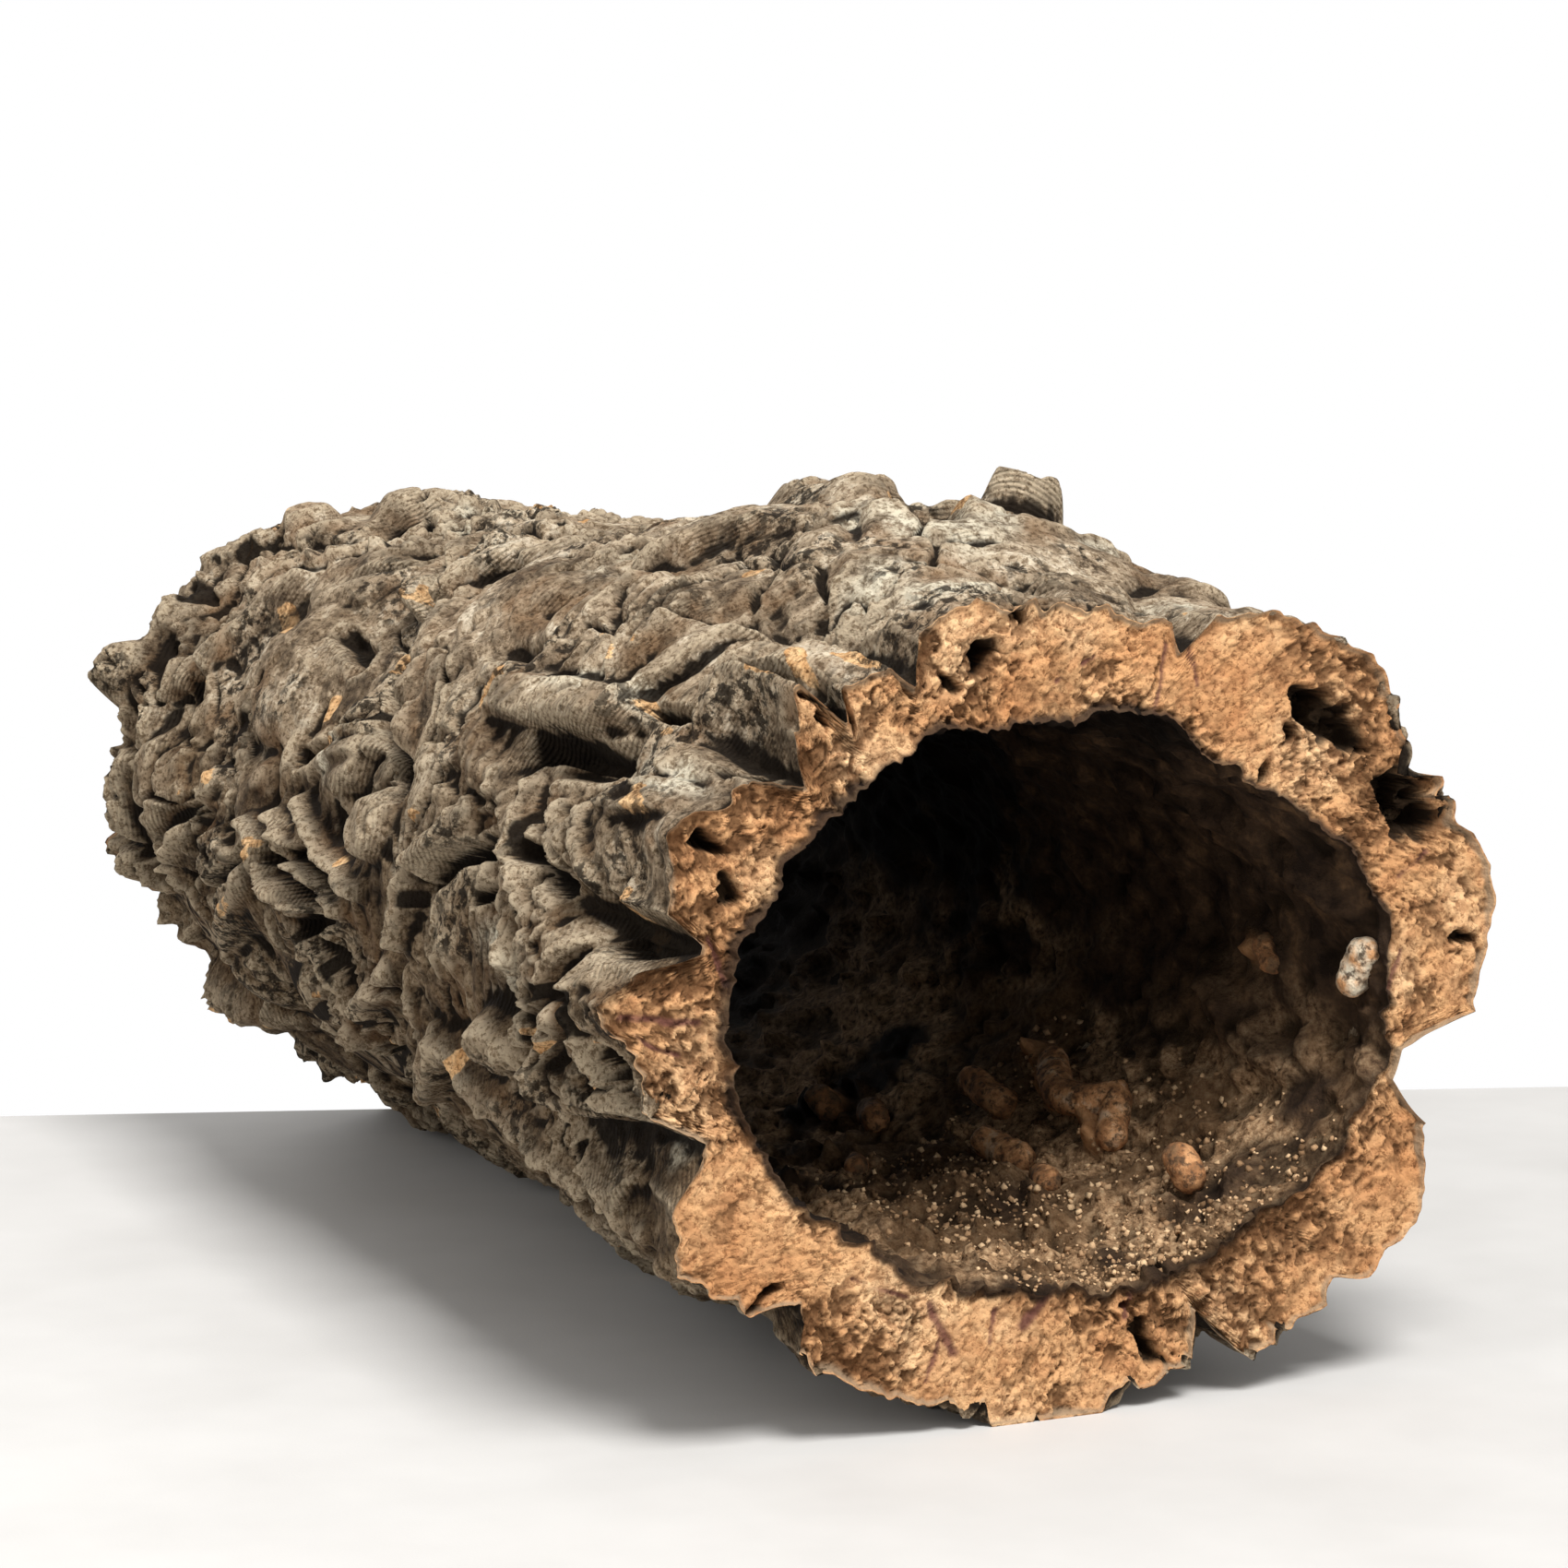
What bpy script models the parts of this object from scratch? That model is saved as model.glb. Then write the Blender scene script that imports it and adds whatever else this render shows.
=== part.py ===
"""A hollow tube of virgin cork bark, lying on its side with its sawn mouth towards -Y.

The tube grew as one piece, so it is one solid: deeply furrowed bark outside, a hollow that
runs right through, and two flat sawn ends. The bark is a relief over a base oval. Every point
on it is known by its angle round the tube (0 at +X, 90 on top, seen from the mouth) and by its
distance along the tube from the mouth. Dimensions are in millimetres.
"""
import math

import bmesh
import bpy
import numpy as np

MM = 0.001

# Driving dimensions
LENGTH = 430.0
FLOOR_DROP = 104.0          # from the middle of the mouth down to the resting surface
MIDDLE_TO_RIGHT = 6.0       # from the middle of the mouth to the middle of the whole width
THINNEST_WALL = 10.0
SPLIT = 348.0               # the angle at which one furrow nearly splits the wall
SPLIT_WEB = 4.0             # the wall that is left under that furrow, at the mouth
RELIEF_RADIUS = 112.0       # the cylinder on which the relief is laid out

# Stations of the bark: distance along, then radii at every 45 degrees, from the right (0
# degrees) over the top and round again
BARK_STATIONS = (
    (0.0, (126.0, 120.0, 100.0, 98.0, 107.0, 103.0, 102.0, 117.0)),
    (110.0, (121.0, 120.0, 112.0, 107.0, 112.0, 98.0, 100.0, 110.0)),
    (250.0, (117.0, 110.0, 99.0, 103.0, 108.0, 92.0, 98.0, 106.0)),
    (430.0, (112.0, 102.0, 94.0, 105.0, 108.0, 88.0, 98.0, 102.0)),
)
HOLLOW_MOUTH_RADII = (103.0, 80.0, 73.0, 78.0, 84.0, 76.0, 72.0, 86.0)
HOLLOW_FAR_RADII = (92.0, 80.0, 76.0, 80.0, 86.0, 79.0, 74.0, 80.0)

# Swells of the sawn outline at the mouth: angle, half width in degrees, height
MOUTH_LOBES = (
    (9.0, 8.0, 7.0), (42.0, 5.0, 3.0), (70.0, 11.0, -9.0), (102.0, 9.0, 5.0),
    (128.5, 2.5, 9.0), (153.0, 5.0, 9.0), (176.0, 4.5, 10.0), (211.0, 5.0, 9.0),
    (270.0, 8.0, 4.0), (292.0, 8.0, -6.0), (305.0, 3.0, 4.0), (321.0, 4.0, 4.0), (330.0, 6.0, 5.0),
    (341.0, 4.0, -5.0),
)

# Furrows that open in the sawn outline: angle, half width in degrees, depth, reach, swing
FURROWS = (
    (SPLIT, 7.0, 25.0, 900.0, 3.0),
    (27.0, 3.0, 6.0, 60.0, 4.0),
    (66.0, 3.0, 9.0, 50.0, 5.0),
    (113.0, 3.0, 9.0, 70.0, 6.0),
    (126.0, 2.0, 11.0, 60.0, 6.0),
    (137.5, 4.5, 11.0, 45.0, 5.0),
    (167.0, 3.8, 14.0, 60.0, 4.0),
    (196.0, 6.0, 14.0, 120.0, 6.0),
    (226.0, 4.5, 10.0, 160.0, 5.0),
    (299.0, 4.0, 12.0, 200.0, 5.0),
    (318.0, 3.0, 6.0, 150.0, 8.0),
)

# Forms of their own on the bark: angle, along, half size round, half size along, turn in
# degrees, height, share of the half size that is edge
BARK_FORMS = (
    # the flaps and the ridge that stand up on top
    (68.5, 94.0, 14.0, 6.5, 0.0, 16.0, 0.40),
    (60.5, 74.0, 11.0, 6.5, 0.0, 5.0, 0.50),
    (84.0, 84.0, 10.0, 14.0, 0.0, -7.0, 0.80),
    (79.0, 168.0, 17.0, 40.0, 0.0, 12.0, 0.50),
    (76.0, 116.0, 14.0, 13.0, 0.0, -7.0, 0.90),
    (96.0, 196.0, 14.0, 14.0, 0.0, 3.0, 0.60),
    (92.0, 296.0, 26.0, 17.0, 0.0, -11.0, 0.80),
    (80.0, 350.0, 38.0, 32.0, 0.0, -12.0, 0.80),
    (84.0, 320.0, 9.0, 14.0, 0.0, -8.0, 0.80),
    (78.0, 398.0, 30.0, 26.0, 0.0, -16.0, 0.80),
    (89.0, 256.0, 24.0, 24.0, 0.0, -8.0, 0.80),
    (52.0, 62.0, 16.0, 40.0, 10.0, 4.0, 0.80),
    # the domes of the upper left
    (127.0, 112.0, 24.0, 38.0, 0.0, 7.0, 0.35),
    (132.0, 178.0, 34.0, 30.0, 20.0, 7.0, 0.50),
    (127.0, 34.0, 19.0, 22.0, 0.0, 6.0, 0.50),
    (96.0, 60.0, 30.0, 40.0, 0.0, 3.0, 0.80),
    (51.0, 418.0, 16.0, 18.0, 0.0, 5.0, 0.80),
    # ledges on the left, each with its hollow below it
    (141.0, 98.0, 9.0, 48.0, -9.0, 10.0, 0.40),
    (144.0, 136.0, 9.0, 12.0, -9.0, 4.0, 0.40),
    (148.0, 72.0, 5.0, 18.0, -9.0, -11.0, 0.60),
    (142.5, 26.0, 8.0, 14.0, -9.0, 6.0, 0.30),
    (149.5, 28.0, 8.0, 27.0, -10.0, 8.0, 0.40),
    (157.0, 45.0, 14.0, 32.0, 0.0, 4.0, 0.60),
    (165.5, 10.0, 7.0, 22.0, 0.0, 10.0, 0.40),
    (172.0, 10.0, 6.0, 16.0, 0.0, 7.0, 0.40),
    (156.0, 128.0, 20.0, 16.0, 0.0, 5.0, 0.60),
    # the plates and hollows of the lower left, near the mouth
    (191.0, 18.0, 12.0, 12.0, 0.0, 7.0, 0.40),
    (198.0, 34.0, 12.0, 12.0, 30.0, -8.0, 0.70),
    (189.0, 92.0, 12.0, 14.0, 0.0, 6.0, 0.50),
    (183.0, 62.0, 7.0, 16.0, -30.0, 4.0, 0.50),
    # the middle and the far part of the left side
    (155.0, 222.0, 24.0, 24.0, 0.0, 6.0, 0.60),
    (165.0, 178.0, 13.0, 12.0, 0.0, 8.0, 0.50),
    (151.0, 198.0, 12.0, 10.0, 0.0, -7.0, 0.90),
    (148.0, 300.0, 30.0, 34.0, 0.0, 5.0, 0.70),
    (128.0, 320.0, 26.0, 32.0, 0.0, 4.0, 0.70),
    (184.0, 320.0, 22.0, 24.0, 30.0, 3.0, 0.50),
    (172.0, 376.0, 20.0, 24.0, 30.0, 4.0, 0.50),
    # the far end: the knobs of its outline and the hollow under one of them
    (156.5, 412.0, 17.0, 17.0, 0.0, 17.0, 0.80),
    (145.0, 408.0, 14.0, 14.0, 0.0, 9.0, 0.80),
    (166.0, 402.0, 9.0, 9.0, 0.0, -7.0, 0.80),
    (198.0, 412.0, 17.0, 24.0, 0.0, -10.0, 0.80),
    (216.0, 388.0, 16.0, 45.0, 0.0, 14.0, 0.80),
    (240.0, 395.0, 20.0, 40.0, 0.0, 6.0, 0.80),
    (102.0, 366.0, 22.0, 15.0, 0.0, 8.0, 0.50),
    (116.0, 406.0, 15.0, 12.0, 0.0, 7.0, 0.60),
    # low lumps that the tube rests on
    (266.0, 24.0, 24.0, 24.0, 0.0, 6.0, 0.60),
    (287.0, 60.0, 18.0, 24.0, 0.0, 7.0, 0.70),
    (256.0, 215.0, 20.0, 30.0, 0.0, 6.0, 0.70),
    (284.0, 235.0, 18.0, 26.0, 0.0, 6.0, 0.70),
    (258.0, 372.0, 18.0, 26.0, 0.0, 7.0, 0.70),
    (286.0, 366.0, 18.0, 26.0, 0.0, 8.0, 0.70),
)

# Folds of the bark: half width, height, then the points of the line as angle and along
BARK_FOLDS = (
    (9.0, 6.0, (121.0, 240.0), (140.0, 211.0), (150.0, 184.0)),
    (6.5, 7.0, (179.0, 148.0), (167.0, 139.0), (158.0, 116.0)),
    (5.5, 7.0, (172.0, 289.0), (179.0, 264.0), (183.0, 228.0)),
    (5.0, 6.0, (170.0, 268.0), (175.0, 244.0), (179.0, 208.0)),
    (5.0, 6.0, (166.0, 242.0), (172.0, 219.0), (175.0, 188.0)),
    (5.0, 4.0, (161.0, 243.0), (156.0, 220.0), (152.0, 184.0)),
    (7.0, 6.0, (193.0, 140.0), (202.0, 103.0), (208.0, 56.0)),
    (6.5, 5.0, (189.0, 84.0), (201.0, 68.0), (208.0, 26.0)),
    (5.0, 7.0, (181.0, 40.0), (187.0, 56.0), (193.0, 58.0), (196.0, 38.0)),
    (4.5, 7.0, (179.0, 26.0), (185.0, 20.0), (192.0, 6.0)),
    (6.5, 4.5, (154.0, 92.0), (176.0, 76.0)),
    (6.5, 4.5, (155.0, 72.0), (170.0, 50.0)),
    (5.5, 4.5, (153.0, 58.0), (163.0, 36.0)),
    (10.0, 6.0, (149.0, 124.0), (160.0, 88.0), (170.0, 62.0), (177.0, 48.0)),
    (4.5, 3.0, (117.0, 132.0), (134.0, 128.0)),
    (4.5, 3.0, (117.0, 114.0), (134.0, 108.0)),
    (4.5, 3.0, (118.0, 98.0), (133.0, 90.0)),
    (7.5, 5.0, (143.0, 154.0), (157.0, 134.0)),
    (9.0, 5.0, (136.0, 34.0), (121.0, 24.0)),
    (6.5, 5.0, (186.0, 372.0), (176.0, 350.0), (168.0, 330.0)),
    (6.5, 5.0, (196.0, 330.0), (185.0, 300.0), (176.0, 276.0)),
    (7.5, 5.0, (206.0, 250.0), (196.0, 214.0), (186.0, 170.0)),
    (7.5, 5.0, (214.0, 214.0), (204.0, 176.0), (196.0, 150.0)),
    (7.5, 4.0, (96.0, 176.0), (80.0, 158.0)),
    (7.5, 5.0, (150.0, 372.0), (132.0, 352.0), (118.0, 340.0)),
)

# Slots and pits of the bark, in the same way, with their depth
BARK_SLOTS = (
    (6.5, 13.0, (115.0, 268.0), (143.0, 225.0), (153.0, 196.0), (158.0, 174.0)),
    (5.0, 17.0, (169.0, 131.0), (162.0, 99.0)),
    (3.5, 12.0, (170.0, 102.0), (167.0, 88.0)),
    (4.0, 15.5, (171.0, 134.0), (179.0, 126.0)),
    (4.0, 9.5, (161.0, 80.0), (164.0, 50.0)),
    (3.5, 18.0, (169.0, 24.0), (167.0, 4.0)),
    (6.5, 14.5, (197.0, 30.0), (195.0, 6.0)),
    (4.5, 13.0, (182.0, 14.0), (189.0, 3.0)),
    (5.5, 12.0, (190.0, 42.0), (194.0, 26.0)),
    (6.0, 13.0, (146.5, 98.0), (145.0, 60.0)),
    (3.5, 11.0, (137.0, 62.0), (136.0, 44.0)),
    (5.5, 12.0, (113.0, 35.0), (108.0, 31.0)),
    (3.5, 8.5, (124.0, 17.0), (122.0, 7.0)),
    (3.5, 9.5, (141.0, 12.0), (139.0, 5.0)),
    (4.0, 13.0, (175.0, 272.0), (181.0, 222.0)),
    (3.0, 8.5, (173.0, 250.0), (178.0, 212.0)),
    (4.5, 12.0, (190.0, 344.0), (177.0, 292.0)),
    (4.5, 11.0, (186.0, 254.0), (182.0, 226.0)),
    (5.0, 8.5, (183.0, 378.0), (172.0, 340.0)),
    (4.0, 11.0, (158.0, 250.0), (161.0, 268.0)),
    (4.5, 9.5, (202.0, 132.0), (208.0, 96.0)),
    (4.0, 8.5, (188.0, 190.0), (194.0, 160.0)),
    (5.0, 9.5, (210.0, 300.0), (200.0, 260.0)),
    (4.5, 8.5, (104.0, 216.0), (97.0, 226.0)),
    (4.0, 8.5, (86.0, 118.0), (78.0, 108.0)),
    (4.5, 9.5, (52.0, 96.0), (70.0, 106.0)),
    (4.5, 8.5, (120.0, 300.0), (132.0, 318.0)),
    (4.5, 9.5, (144.0, 262.0), (138.0, 290.0)),
)

# Cavities in the sawn face of the mouth: across, up, half length, half width, turn, depth
MOUTH_VOIDS = (
    (82.0, 68.0, 13.0, 5.0, -50.0, 14.0),
    (106.0, 43.0, 10.0, 6.5, -35.0, 12.0),
    (122.0, 12.0, 6.5, 2.2, 5.0, 8.0),
    (-15.0, 85.0, 6.0, 3.0, 10.0, 9.0),
    (-86.0, 46.0, 6.5, 3.0, -35.0, 9.0),
    (-83.0, 33.0, 3.6, 4.6, 0.0, 10.0),
    (32.0, -89.0, 4.0, 6.0, 15.0, 10.0),
)

# Cavities in the sawn face of the far end, in the same way
FAR_VOIDS = (
    (-92.0, 30.0, 8.0, 4.0, 70.0, 10.0),
    (60.0, 70.0, 9.0, 4.0, -40.0, 10.0),
    (27.0, -80.0, 6.0, 2.5, 20.0, 8.0),
)

# Knots on the floor and the wall of the hollow: angle, along, half sizes, turn, height
HOLLOW_KNOTS = (
    (320.0, 152.0, 6.0, 9.0, 0.0, 6.0), (303.0, 207.0, 7.0, 10.0, 0.0, 6.0),
    (309.0, 117.0, 7.0, 12.0, 20.0, 5.0), (320.0, 43.0, 6.5, 8.0, 0.0, 8.0),
    (0.0, 17.0, 7.0, 9.0, 0.0, 6.0), (359.0, 63.0, 6.0, 8.0, 0.0, 5.0),
    (350.0, 24.0, 15.0, 15.0, 0.0, -6.0), (296.0, 60.0, 9.0, 12.0, 30.0, 3.0),
    (12.0, 100.0, 9.0, 14.0, 0.0, 5.0), (5.0, 150.0, 10.0, 12.0, 0.0, 5.0),
    (200.0, 150.0, 10.0, 16.0, 0.0, 5.0), (265.0, 210.0, 12.0, 14.0, 0.0, 5.0),
    (110.0, 300.0, 10.0, 18.0, 0.0, 5.0), (240.0, 330.0, 10.0, 14.0, 0.0, 5.0),
)

# Ridges in the hollow, as lines: half width, height, then points as angle and along
HOLLOW_RIDGES = (
    (6.0, 8.0, (330.0, 137.0), (324.0, 117.0), (326.0, 98.0), (319.0, 86.0)),
    (7.0, 6.0, (356.0, 86.0), (348.0, 68.0), (342.0, 48.0)),
    (8.0, 4.0, (28.0, 72.0), (18.0, 38.0), (10.0, 16.0)),
)

# Bark plates: size round, size along, depth of the gaps between them, how much they differ in
# height, how far they tilt, the height of their crown and how far their borders bend
LARGE_PLATES = (80.0, 44.0, 4.5, 6.0, 9.0, 2.5, 11.0)
SMALL_PLATES = (42.0, 24.0, 3.0, 3.0, 5.0, 2.0, 5.0)
SMOOTH_BARK = (190.0, 370.0, 0.25, 0.65)   # from, to: along the tube; how rough it is on either side
PLATE_EDGE = 0.16           # share of a plate's size over which it drops into a gap
LEAN = 0.3                  # how far a raised form leans, for each millimetre of its height
LEAN_SIZE = 80.0            # of the noise that varies the lean
CALM = 0.8                  # how much of the plates' relief a form of its own takes over
LINE_CALM = 0.6             # the same for a fold or a slot
SWELL_HEIGHT, SWELL_SIZE = 5.0, 95.0   # of the slow unevenness under all the rest
BEND_SIZE = 40.0            # of the noise that bends the plates and the sheets
SHEET_GAP = 25.0            # between the sheets that the bark has grown in, along the tube
SHEET_SWAY = 1.3            # how far they wander, in gaps
SHEET_BEND = 5.0
SHEET_HEIGHT = 7.5
SHEET_BASE = 0.3            # the share of that height that is level with the bark
CALM_WIDTH = 11.0           # how far from a fold or a slot the plates are lower
WOBBLE = 2.5                # how far the lines of folds and slots stray
FORM_REACH = (30.0, 60.0)   # degrees and millimetres beyond which a form has no effect
LINE_REACH = (40.0, 90.0)
RELIEF_START = (2.0, 36.0)  # from the sawn mouth, where the relief rises to its full height
LOBE_END = (10.0, 60.0)     # from the sawn mouth, where the swells of its outline die out
FURROW_CALM = (12.0, 0.8)   # depth at which a furrow has taken over this share of the relief

# The facets of the solid
STEPS_ROUND = 320
STEPS_BARK = 160
STEPS_WALL = 12
STEPS_HOLLOW = 70
TRIANGLES = 10900
CLEAR_OF_CUT = 0.4          # no corner is left nearer than this to the resting surface
SAME_PLACE = 0.02           # corners nearer than this are joined


def smooth(low, high, value):
    """Rises from 0 to 1 between low and high, level at both ends."""
    t = np.clip((value - low) / (high - low), 0.0, 1.0)
    return t * t * (3.0 - 2.0 * t)


def lattice_random(cell, seed):
    """Gives each whole-numbered lattice point its own fixed number from 0 to 1."""
    n = cell[..., 0] * 73856093 ^ cell[..., 1] * 19349663 ^ cell[..., 2] * 83492791
    n = (n ^ (seed * 2654435761)) & 0xFFFFFFFF
    for _ in range(2):
        n = ((n ^ (n >> 16)) * 0x45D9F3B) & 0xFFFFFFFF
    return (n ^ (n >> 16)) / 4294967295.0


def noise(points, size, seed):
    """Smooth noise from -1 to 1, with bumps about as wide as size."""
    scaled = points / size
    cell = np.floor(scaled).astype(np.int64)
    f = scaled - cell
    f = f * f * f * (f * (f * 6.0 - 15.0) + 10.0)
    total = np.zeros(points.shape[:-1])
    for corner in np.ndindex(2, 2, 2):
        weight = np.prod(np.where(corner, f, 1.0 - f), axis=-1)
        total += weight * lattice_random(cell + np.array(corner), seed)
    return 2.0 * total - 1.0


def layered_noise(points, size, seed, layers=3):
    """Noise with finer and weaker noise added on top."""
    total = np.zeros(points.shape[:-1])
    for layer in range(layers):
        total += noise(points, size / 2.0 ** layer, seed + layer) * 0.5 ** layer
    return total


def plates(points, size_round, size_along, seed):
    """Splits the bark into cells; gives the distance to a border, a random number, the offset."""
    scaled = points / np.array((size_round, size_along, size_round))
    cell = np.floor(scaled).astype(np.int64)
    nearest = np.full(points.shape[:-1], 9.0)
    second = np.full(points.shape[:-1], 9.0)
    tag = np.zeros(points.shape[:-1])
    offset = np.zeros(points.shape)
    for step in np.ndindex(3, 3, 3):
        near = cell + np.array(step) - 1
        spot = np.stack([lattice_random(near, seed + axis) for axis in range(3)], axis=-1)
        away = scaled - near - spot
        distance = np.sqrt((away ** 2).sum(axis=-1))
        closer = distance < nearest
        second = np.where(closer, nearest, np.minimum(second, distance))
        nearest = np.where(closer, distance, nearest)
        tag = np.where(closer, lattice_random(near, seed + 7), tag)
        offset = np.where(closer[..., None], away, offset)
    return second - nearest, nearest, tag, offset


def compass_radius(angle, radii):
    """A closed smooth curve through eight radii, at every 45 degrees."""
    turn = (angle % 360.0) / 45.0
    index = np.floor(turn).astype(int)
    t = turn - index
    a, b, c, d = (np.array(radii)[(index + k) % 8] for k in (-1, 0, 1, 2))
    return b + 0.5 * t * (c - a + t * (2 * a - 5 * b + 4 * c - d + t * (3 * (b - c) + d - a)))


def apart(angle, centre):
    """Degrees from centre, from -180 to 180."""
    return (angle - centre + 180.0) % 360.0 - 180.0


def relief_points(angle, along):
    """Places on the cylinder that the relief is laid out on."""
    turn = np.radians(angle)
    return np.stack((RELIEF_RADIUS * np.cos(turn), along, RELIEF_RADIUS * np.sin(turn)), axis=-1)


def form_height(angle, along, form):
    """One form of its own: level on top, falling off round its oval edge."""
    centre, place, half_round, half_along, turn, height, edge = form
    across = np.radians(apart(angle, centre)) * RELIEF_RADIUS
    forward = along - place
    c, s = math.cos(math.radians(turn)), math.sin(math.radians(turn))
    u = (c * across + s * forward) / half_round
    v = (c * forward - s * across) / half_along
    return height * (1.0 - smooth(1.0 - edge, 1.0, np.sqrt(u * u + v * v)))


def line_height(place, bend, line, edge):
    """How near each point lies to a line of bark, from 0 at its edge to 1 along its middle."""
    half_width, points = line[0], line[2:]
    near = np.zeros(place.shape[:-1])
    across = np.radians(apart(place[..., 0], points[0][0])) * RELIEF_RADIUS + WOBBLE * bend[..., 0]
    forward = place[..., 1] - points[0][1] + WOBBLE * bend[..., 2]
    start_across = start_forward = 0.0
    for (angle_1, along_1), (angle_2, along_2) in zip(points, points[1:]):
        run_across = math.radians(angle_2 - angle_1) * RELIEF_RADIUS
        run_forward = along_2 - along_1
        u, v = across - start_across, forward - start_forward
        share = np.clip((u * run_across + v * run_forward) / (run_across ** 2 + run_forward ** 2), 0.0, 1.0)
        away = np.hypot(u - share * run_across, v - share * run_forward)
        near = np.maximum(near, 1.0 - smooth(1.0 - edge, 1.0, away / half_width))
        start_across += run_across
        start_forward += run_forward
    return near


def lines_height(angle, along, bend, lines, edge):
    """The highest of several lines at each point; lines that are far from it aren't worked out."""
    height = np.zeros(angle.shape)
    place = np.stack((angle, along), axis=-1)
    for line in lines:
        middle_angle = sum(point[0] for point in line[2:]) / len(line[2:])
        middle_along = sum(point[1] for point in line[2:]) / len(line[2:])
        near = np.abs(apart(angle, middle_angle)) < LINE_REACH[0]
        near &= np.abs(along - middle_along) < LINE_REACH[1]
        part = line[1] * line_height(place[near], bend[near], line, edge)
        height[near] = np.maximum(height[near], part)
    return height


def plate_relief(points, bend, plan, seed):
    """Raised plates with sunken gaps; each plate has its own height, tilt and crown."""
    size_round, size_along, gap, heave, tilt, crown, bending = plan
    border, middle, tag, offset = plates(points + bending * bend, size_round, size_along, seed)
    turn = np.arctan2(points[..., 2], points[..., 0])
    round_offset = offset[..., 2] * np.cos(turn) - offset[..., 0] * np.sin(turn)
    way = 2.0 * math.pi * (7.0 * tag % 1.0)
    slope = np.cos(way) * round_offset + np.sin(way) * offset[..., 1]
    level = heave * (tag - 0.5) + tilt * slope + crown * (0.3 - middle ** 2)
    return -gap + (gap + level) * smooth(0.0, PLATE_EDGE, border)


def sheets(points, gap, sway, seed):
    """Overlapping sheets that run round the tube: each rises in a cliff and falls off slowly."""
    phase = points[..., 1] / gap + sway * layered_noise(points, 60.0, seed, 2)
    share = phase - np.floor(phase)
    facing = noise(points, 100.0, seed + 5)
    share = np.where(facing > 0.0, share, 1.0 - share)
    return smooth(0.0, 0.2, share) * (1.0 - share) * smooth(0.05, 0.35, np.abs(facing))


def bark_relief(angle, along):
    """Height of the bark over its base oval, before slots and furrows are cut into it."""
    points = relief_points(angle, along)
    bend = np.stack([layered_noise(points, BEND_SIZE, 11 + 10 * axis) for axis in range(3)], axis=-1)
    height = plate_relief(points, bend, SMALL_PLATES, 80)
    height += SHEET_HEIGHT * (sheets(points + SHEET_BEND * bend, SHEET_GAP, SHEET_SWAY, 90) - SHEET_BASE)
    start, end, low, high = SMOOTH_BARK
    height *= low + (high - low) * smooth(start, end, along)
    height += SWELL_HEIGHT * layered_noise(points, SWELL_SIZE, 5, 2)
    height += plate_relief(points, bend, LARGE_PLATES, 60)
    for form in BARK_FORMS:
        near = (np.abs(apart(angle, form[0])) < FORM_REACH[0]) & (np.abs(along - form[1]) < FORM_REACH[1])
        rise = form_height(angle[near], along[near], form)
        height[near] += rise - CALM * height[near] * np.abs(rise / form[5])
    wide = [(CALM_WIDTH, 1.0) + line[2:] for line in BARK_FOLDS + BARK_SLOTS]
    height *= 1.0 - LINE_CALM * lines_height(angle, along, bend, wide, 1.0)
    return height + lines_height(angle, along, bend, BARK_FOLDS, 0.9)


def slot_depth(angle, along):
    """Depth of the slots and pits."""
    points = relief_points(angle, along)
    bend = np.stack([layered_noise(points, 14.0, 120 + 10 * axis, 2) for axis in range(3)], axis=-1)
    return lines_height(angle, along, bend, BARK_SLOTS, 0.8)


def furrow_depth(angle, along):
    """Depth of the long furrows that start at the mouth and wander along the tube."""
    depth = np.zeros(angle.shape)
    for centre, half_width, deepest, reach, swing in FURROWS:
        wander = swing * np.sin(along / 37.0 + centre) * smooth(10.0, 80.0, along)
        across = np.abs(apart(angle, centre + wander)) / half_width
        fade = 1.0 - smooth(0.35 * reach, reach, along)
        depth = np.maximum(depth, deepest * fade * np.clip(1.0 - across, 0.0, 1.0) ** 0.8)
    return depth


def base_radius(angle, along):
    """The plain oval of the bark, from station to station."""
    place, radii = BARK_STATIONS[0]
    radius = compass_radius(angle, radii)
    for next_place, radii in BARK_STATIONS[1:]:
        radius += (compass_radius(angle, radii) - radius) * smooth(place, next_place, along)
        place = next_place
    return radius


def hollow_radius(angle, along):
    """The wall of the hollow, with its knots and its slow unevenness."""
    share = smooth(0.0, 220.0, along)
    radius = compass_radius(angle, HOLLOW_MOUTH_RADII) * (1.0 - share)
    radius += compass_radius(angle, HOLLOW_FAR_RADII) * share
    points = relief_points(angle, along)
    radius += 3.5 * layered_noise(points, 48.0, 140) * smooth(-60.0, 40.0, along)
    radius += 1.6 * layered_noise(points, 20.0, 143, 2)
    for knot in HOLLOW_KNOTS:
        radius -= form_height(angle, along, knot + (0.95,))
    bend = np.stack([noise(points, 14.0, 145 + axis) for axis in range(3)], axis=-1)
    return radius - lines_height(angle, along, bend, HOLLOW_RIDGES, 0.9)


def cut_depth(angle, along):
    """Depth of all that is cut into the bark: furrows, slots and pits."""
    return np.maximum(furrow_depth(angle, along), slot_depth(angle, along) * smooth(0.0, 6.0, along))


def standing_relief(angle, along, cut):
    """Height of the relief where the cuts and the sawn mouth leave it standing."""
    height = bark_relief(angle, along) * smooth(*RELIEF_START, along)
    return height * (1.0 - FURROW_CALM[1] * smooth(0.0, FURROW_CALM[0], cut))


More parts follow.
